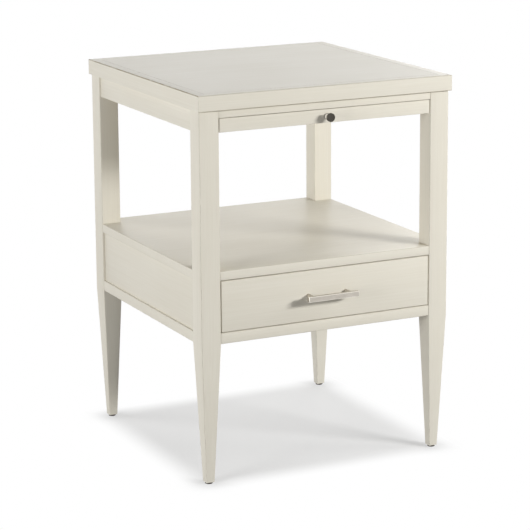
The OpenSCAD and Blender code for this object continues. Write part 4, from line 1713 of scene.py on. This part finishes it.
@dataclass
class Studio:
    """The plain pale floor, the soft light and the camera at the photograph's view.

    The floor and the world show white, or the shade between the feet, to the camera and to gloss, and
    bounce less light than that onto the nightstand.
    """

    floor_half: float = 30.0
    floor_tone: float = 0.30
    shaded_tone: float = 0.50
    shaded_glow: float = 0.355
    shade_margin: float = 5 * MM
    shade_softness: float = 35 * MM
    contact_reach: float = 60 * MM
    contact_depth: float = 0.12
    contact_covered: Point = (0.80, 0.98)
    contact_samples: int = 16
    sky: float = 0.08
    image: float = 530.0
    sensor: float = 36.0
    focal_pixels: float = 2212.75
    centre_across: float = 265.0
    centre_down: float = 212.0
    camera_place: tuple[float, float, float] = (-1.8123, -3.6731, 1.3256)
    camera_yaw: float = 26.16
    camera_pitch: float = -12.266
    camera_roll: float = -0.405

    def seen_directly(self, tree: Tree) -> Value:
        """Returns 1 for rays from the camera, from gloss and through glass, and 0 for the rest.

        Args:
            tree: The tree of the floor or the world.

        Returns:
            The 1 or 0.
        """
        path = tree.node("ShaderNodeLightPath", {}, {}, "Is Camera Ray")
        total = path + path.output("Is Glossy Ray") + path.output("Is Transmission Ray")
        return tree.between(total, 0.0, 1.0)

    def footprint(self, tree: Tree) -> Value:
        """Finds the floor between the four feet, with soft edges, where a shadow is painted.

        Args:
            tree: The floor's tree.

        Returns:
            1 between the feet and 0 away from them.
        """
        low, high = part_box("foot_glides")
        place = tree.node("ShaderNodeTexCoord", {}, {}, "Object")
        split = tree.node("ShaderNodeSeparateXYZ", {}, {"Vector": place})
        inside: Value | float = 1.0
        for axis, letter in enumerate("XY"):
            middle, half = (low[axis] + high[axis]) / 2, (high[axis] - low[axis]) / 2 + self.shade_margin
            away = abs(split.output(letter) - middle)
            outside = tree.between(away, half - self.shade_softness, half + self.shade_softness)
            inside = (1.0 - outside) * inside
        return inside

    def floor_material(self) -> bpy.types.Material:
        """Makes the floor's material, which is clear from below.

        Returns:
            The material.
        """
        material = bpy.data.materials.new("studio_floor")
        tree = Tree.fresh(material)
        seen = self.seen_directly(tree)
        under = self.footprint(tree)
        tone = self.floor_tone + seen * (under * self.shaded_tone - self.floor_tone)
        matt = tree.node("ShaderNodeBsdfDiffuse", {}, {"Color": tone})
        samples, reach = {"samples": self.contact_samples}, {"Distance": self.contact_reach}
        # Ambient occlusion near the feet darkens the glow as a painted contact shadow.
        open_share = tree.node("ShaderNodeAmbientOcclusion", samples, reach, "AO")
        contact = (1.0 - tree.between(open_share, *self.contact_covered)) * self.contact_depth
        # Between the feet the glow is lowered into a painted shadow.
        level = (1.0 - under * (1.0 - self.shaded_glow)) * (1.0 - contact)
        glow = tree.node("ShaderNodeEmission", {}, {"Color": seen * level})
        both = tree.node("ShaderNodeAddShader", {}, {0: matt, 1: glow})
        below = tree.node("ShaderNodeNewGeometry", {}, {}, "Backfacing")
        clear = tree.node("ShaderNodeBsdfTransparent")
        shown = tree.node("ShaderNodeMixShader", {}, {"Fac": below, 1: both, 2: clear})
        tree.node("ShaderNodeOutputMaterial", {}, {"Surface": shown})
        return material

    def floor(self) -> None:
        """Adds a wide floor."""
        mesh = bmesh.new()
        corner = Vector((self.floor_half, self.floor_half))
        mesh.faces.new([mesh.verts.new((x, y, 0.0)) for x, y in rectangle(-corner, corner)])
        data = closed("studio_floor", mesh)
        data.materials.append(self.floor_material())
        linked("studio_floor", data)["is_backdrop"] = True

    def world(self) -> None:
        """Surrounds the object with white, which lights it less than the camera and gloss see."""
        world = bpy.data.worlds.new("studio")
        bpy.context.scene.world = world
        tree = Tree.fresh(world)
        seen = self.seen_directly(tree)
        glow = tree.node("ShaderNodeBackground", {}, {"Color": seen + (1.0 - seen) * self.sky})
        tree.node("ShaderNodeOutputWorld", {}, {"Surface": glow})

    def lamps(self) -> None:
        """Adds a strong wide low key from the front right, weaker lamps round it, and a faint overhead."""
        for lamp in (
            Lamp("key", 40, 19, 3.0, 1.0, 0.3, 0.87, in_gloss=False),
            Lamp("side", 68, 26, 3.0, 0.7, 0.7, 0.14),
            Lamp("left_fill", -75, 6, 2.8, 1.0, 1.0, 0.55),
            Lamp("left_rear_fill", -132, 12, 2.8, 1.4, 1.4, 0.22),
            Lamp("rear_fill", 125, 25, 2.8, 2.2, 2.2, 0.145),
            Lamp("back_fill", 155, 30, 2.8, 2.2, 2.2, 0.17),
            Lamp("back_low", 178, 8, 2.8, 1.6, 1.0, 0.22, in_gloss=False),
            Lamp("overhead", 0, 89, 1.9, 1.4, 1.4, 0.07, target=(0.0, 0.0, 0.71)),
        ):
            lamp.build()

    def camera(self) -> None:
        """Adds the camera: its place and turn come from a fit to the edges in the photograph."""
        data = bpy.data.cameras.new("camera")
        data.sensor_width = self.sensor
        data.lens = self.focal_pixels * self.sensor / self.image
        data.shift_x = (self.image / 2 - self.centre_across) / self.image
        data.shift_y = (self.centre_down - self.image / 2) / self.image
        angles = (self.camera_yaw, self.camera_pitch, self.camera_roll)
        yaw, pitch, roll = (math.radians(angle) for angle in angles)
        ahead = Vector((math.sin(yaw) * math.cos(pitch), math.cos(yaw) * math.cos(pitch), math.sin(pitch)))
        level = Vector((math.cos(yaw), -math.sin(yaw), 0.0))
        upright = level.cross(ahead)
        right = level * math.cos(roll) + upright * math.sin(roll)
        up = upright * math.cos(roll) - level * math.sin(roll)
        turn = Matrix((right, up, -ahead)).transposed().to_4x4()
        camera = linked("camera", data)
        camera.matrix_world = Matrix.Translation(self.camera_place) @ turn
        bpy.context.scene.camera = camera

    def build(self) -> None:
        """Sets up floor, world, lamps and camera."""
        self.floor()
        self.world()
        self.lamps()
        self.camera()
        bpy.context.scene.view_settings.view_transform = "Standard"


def corners(box: tuple[Vector, Vector]) -> list[list[float]]:
    """Returns a box as plain lists of numbers."""
    return [list(box[0]), list(box[1])]


def main() -> None:
    """Loads the frame, builds every sub-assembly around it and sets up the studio."""
    logging.basicConfig(level=logging.INFO, format="%(name)s: %(message)s", stream=sys.stdout)
    frame = Frame.load()
    cad_box = corners(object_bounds())
    for part in (Top, Legs, UpperFrame, Tray, Case, Slides, Drawer, BarPull, Glides):
        part(frame).build()
    bare = sorted(set(frame.nodes) - frame.stood_for)
    LOG.info("%d pieces; CAD nodes that stay in view: %s", len(frame.stood_for), ", ".join(bare))
    Studio().build()
    {"cad": cad_box, "visual": corners(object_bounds())}


if __name__ == "__main__":
    main()
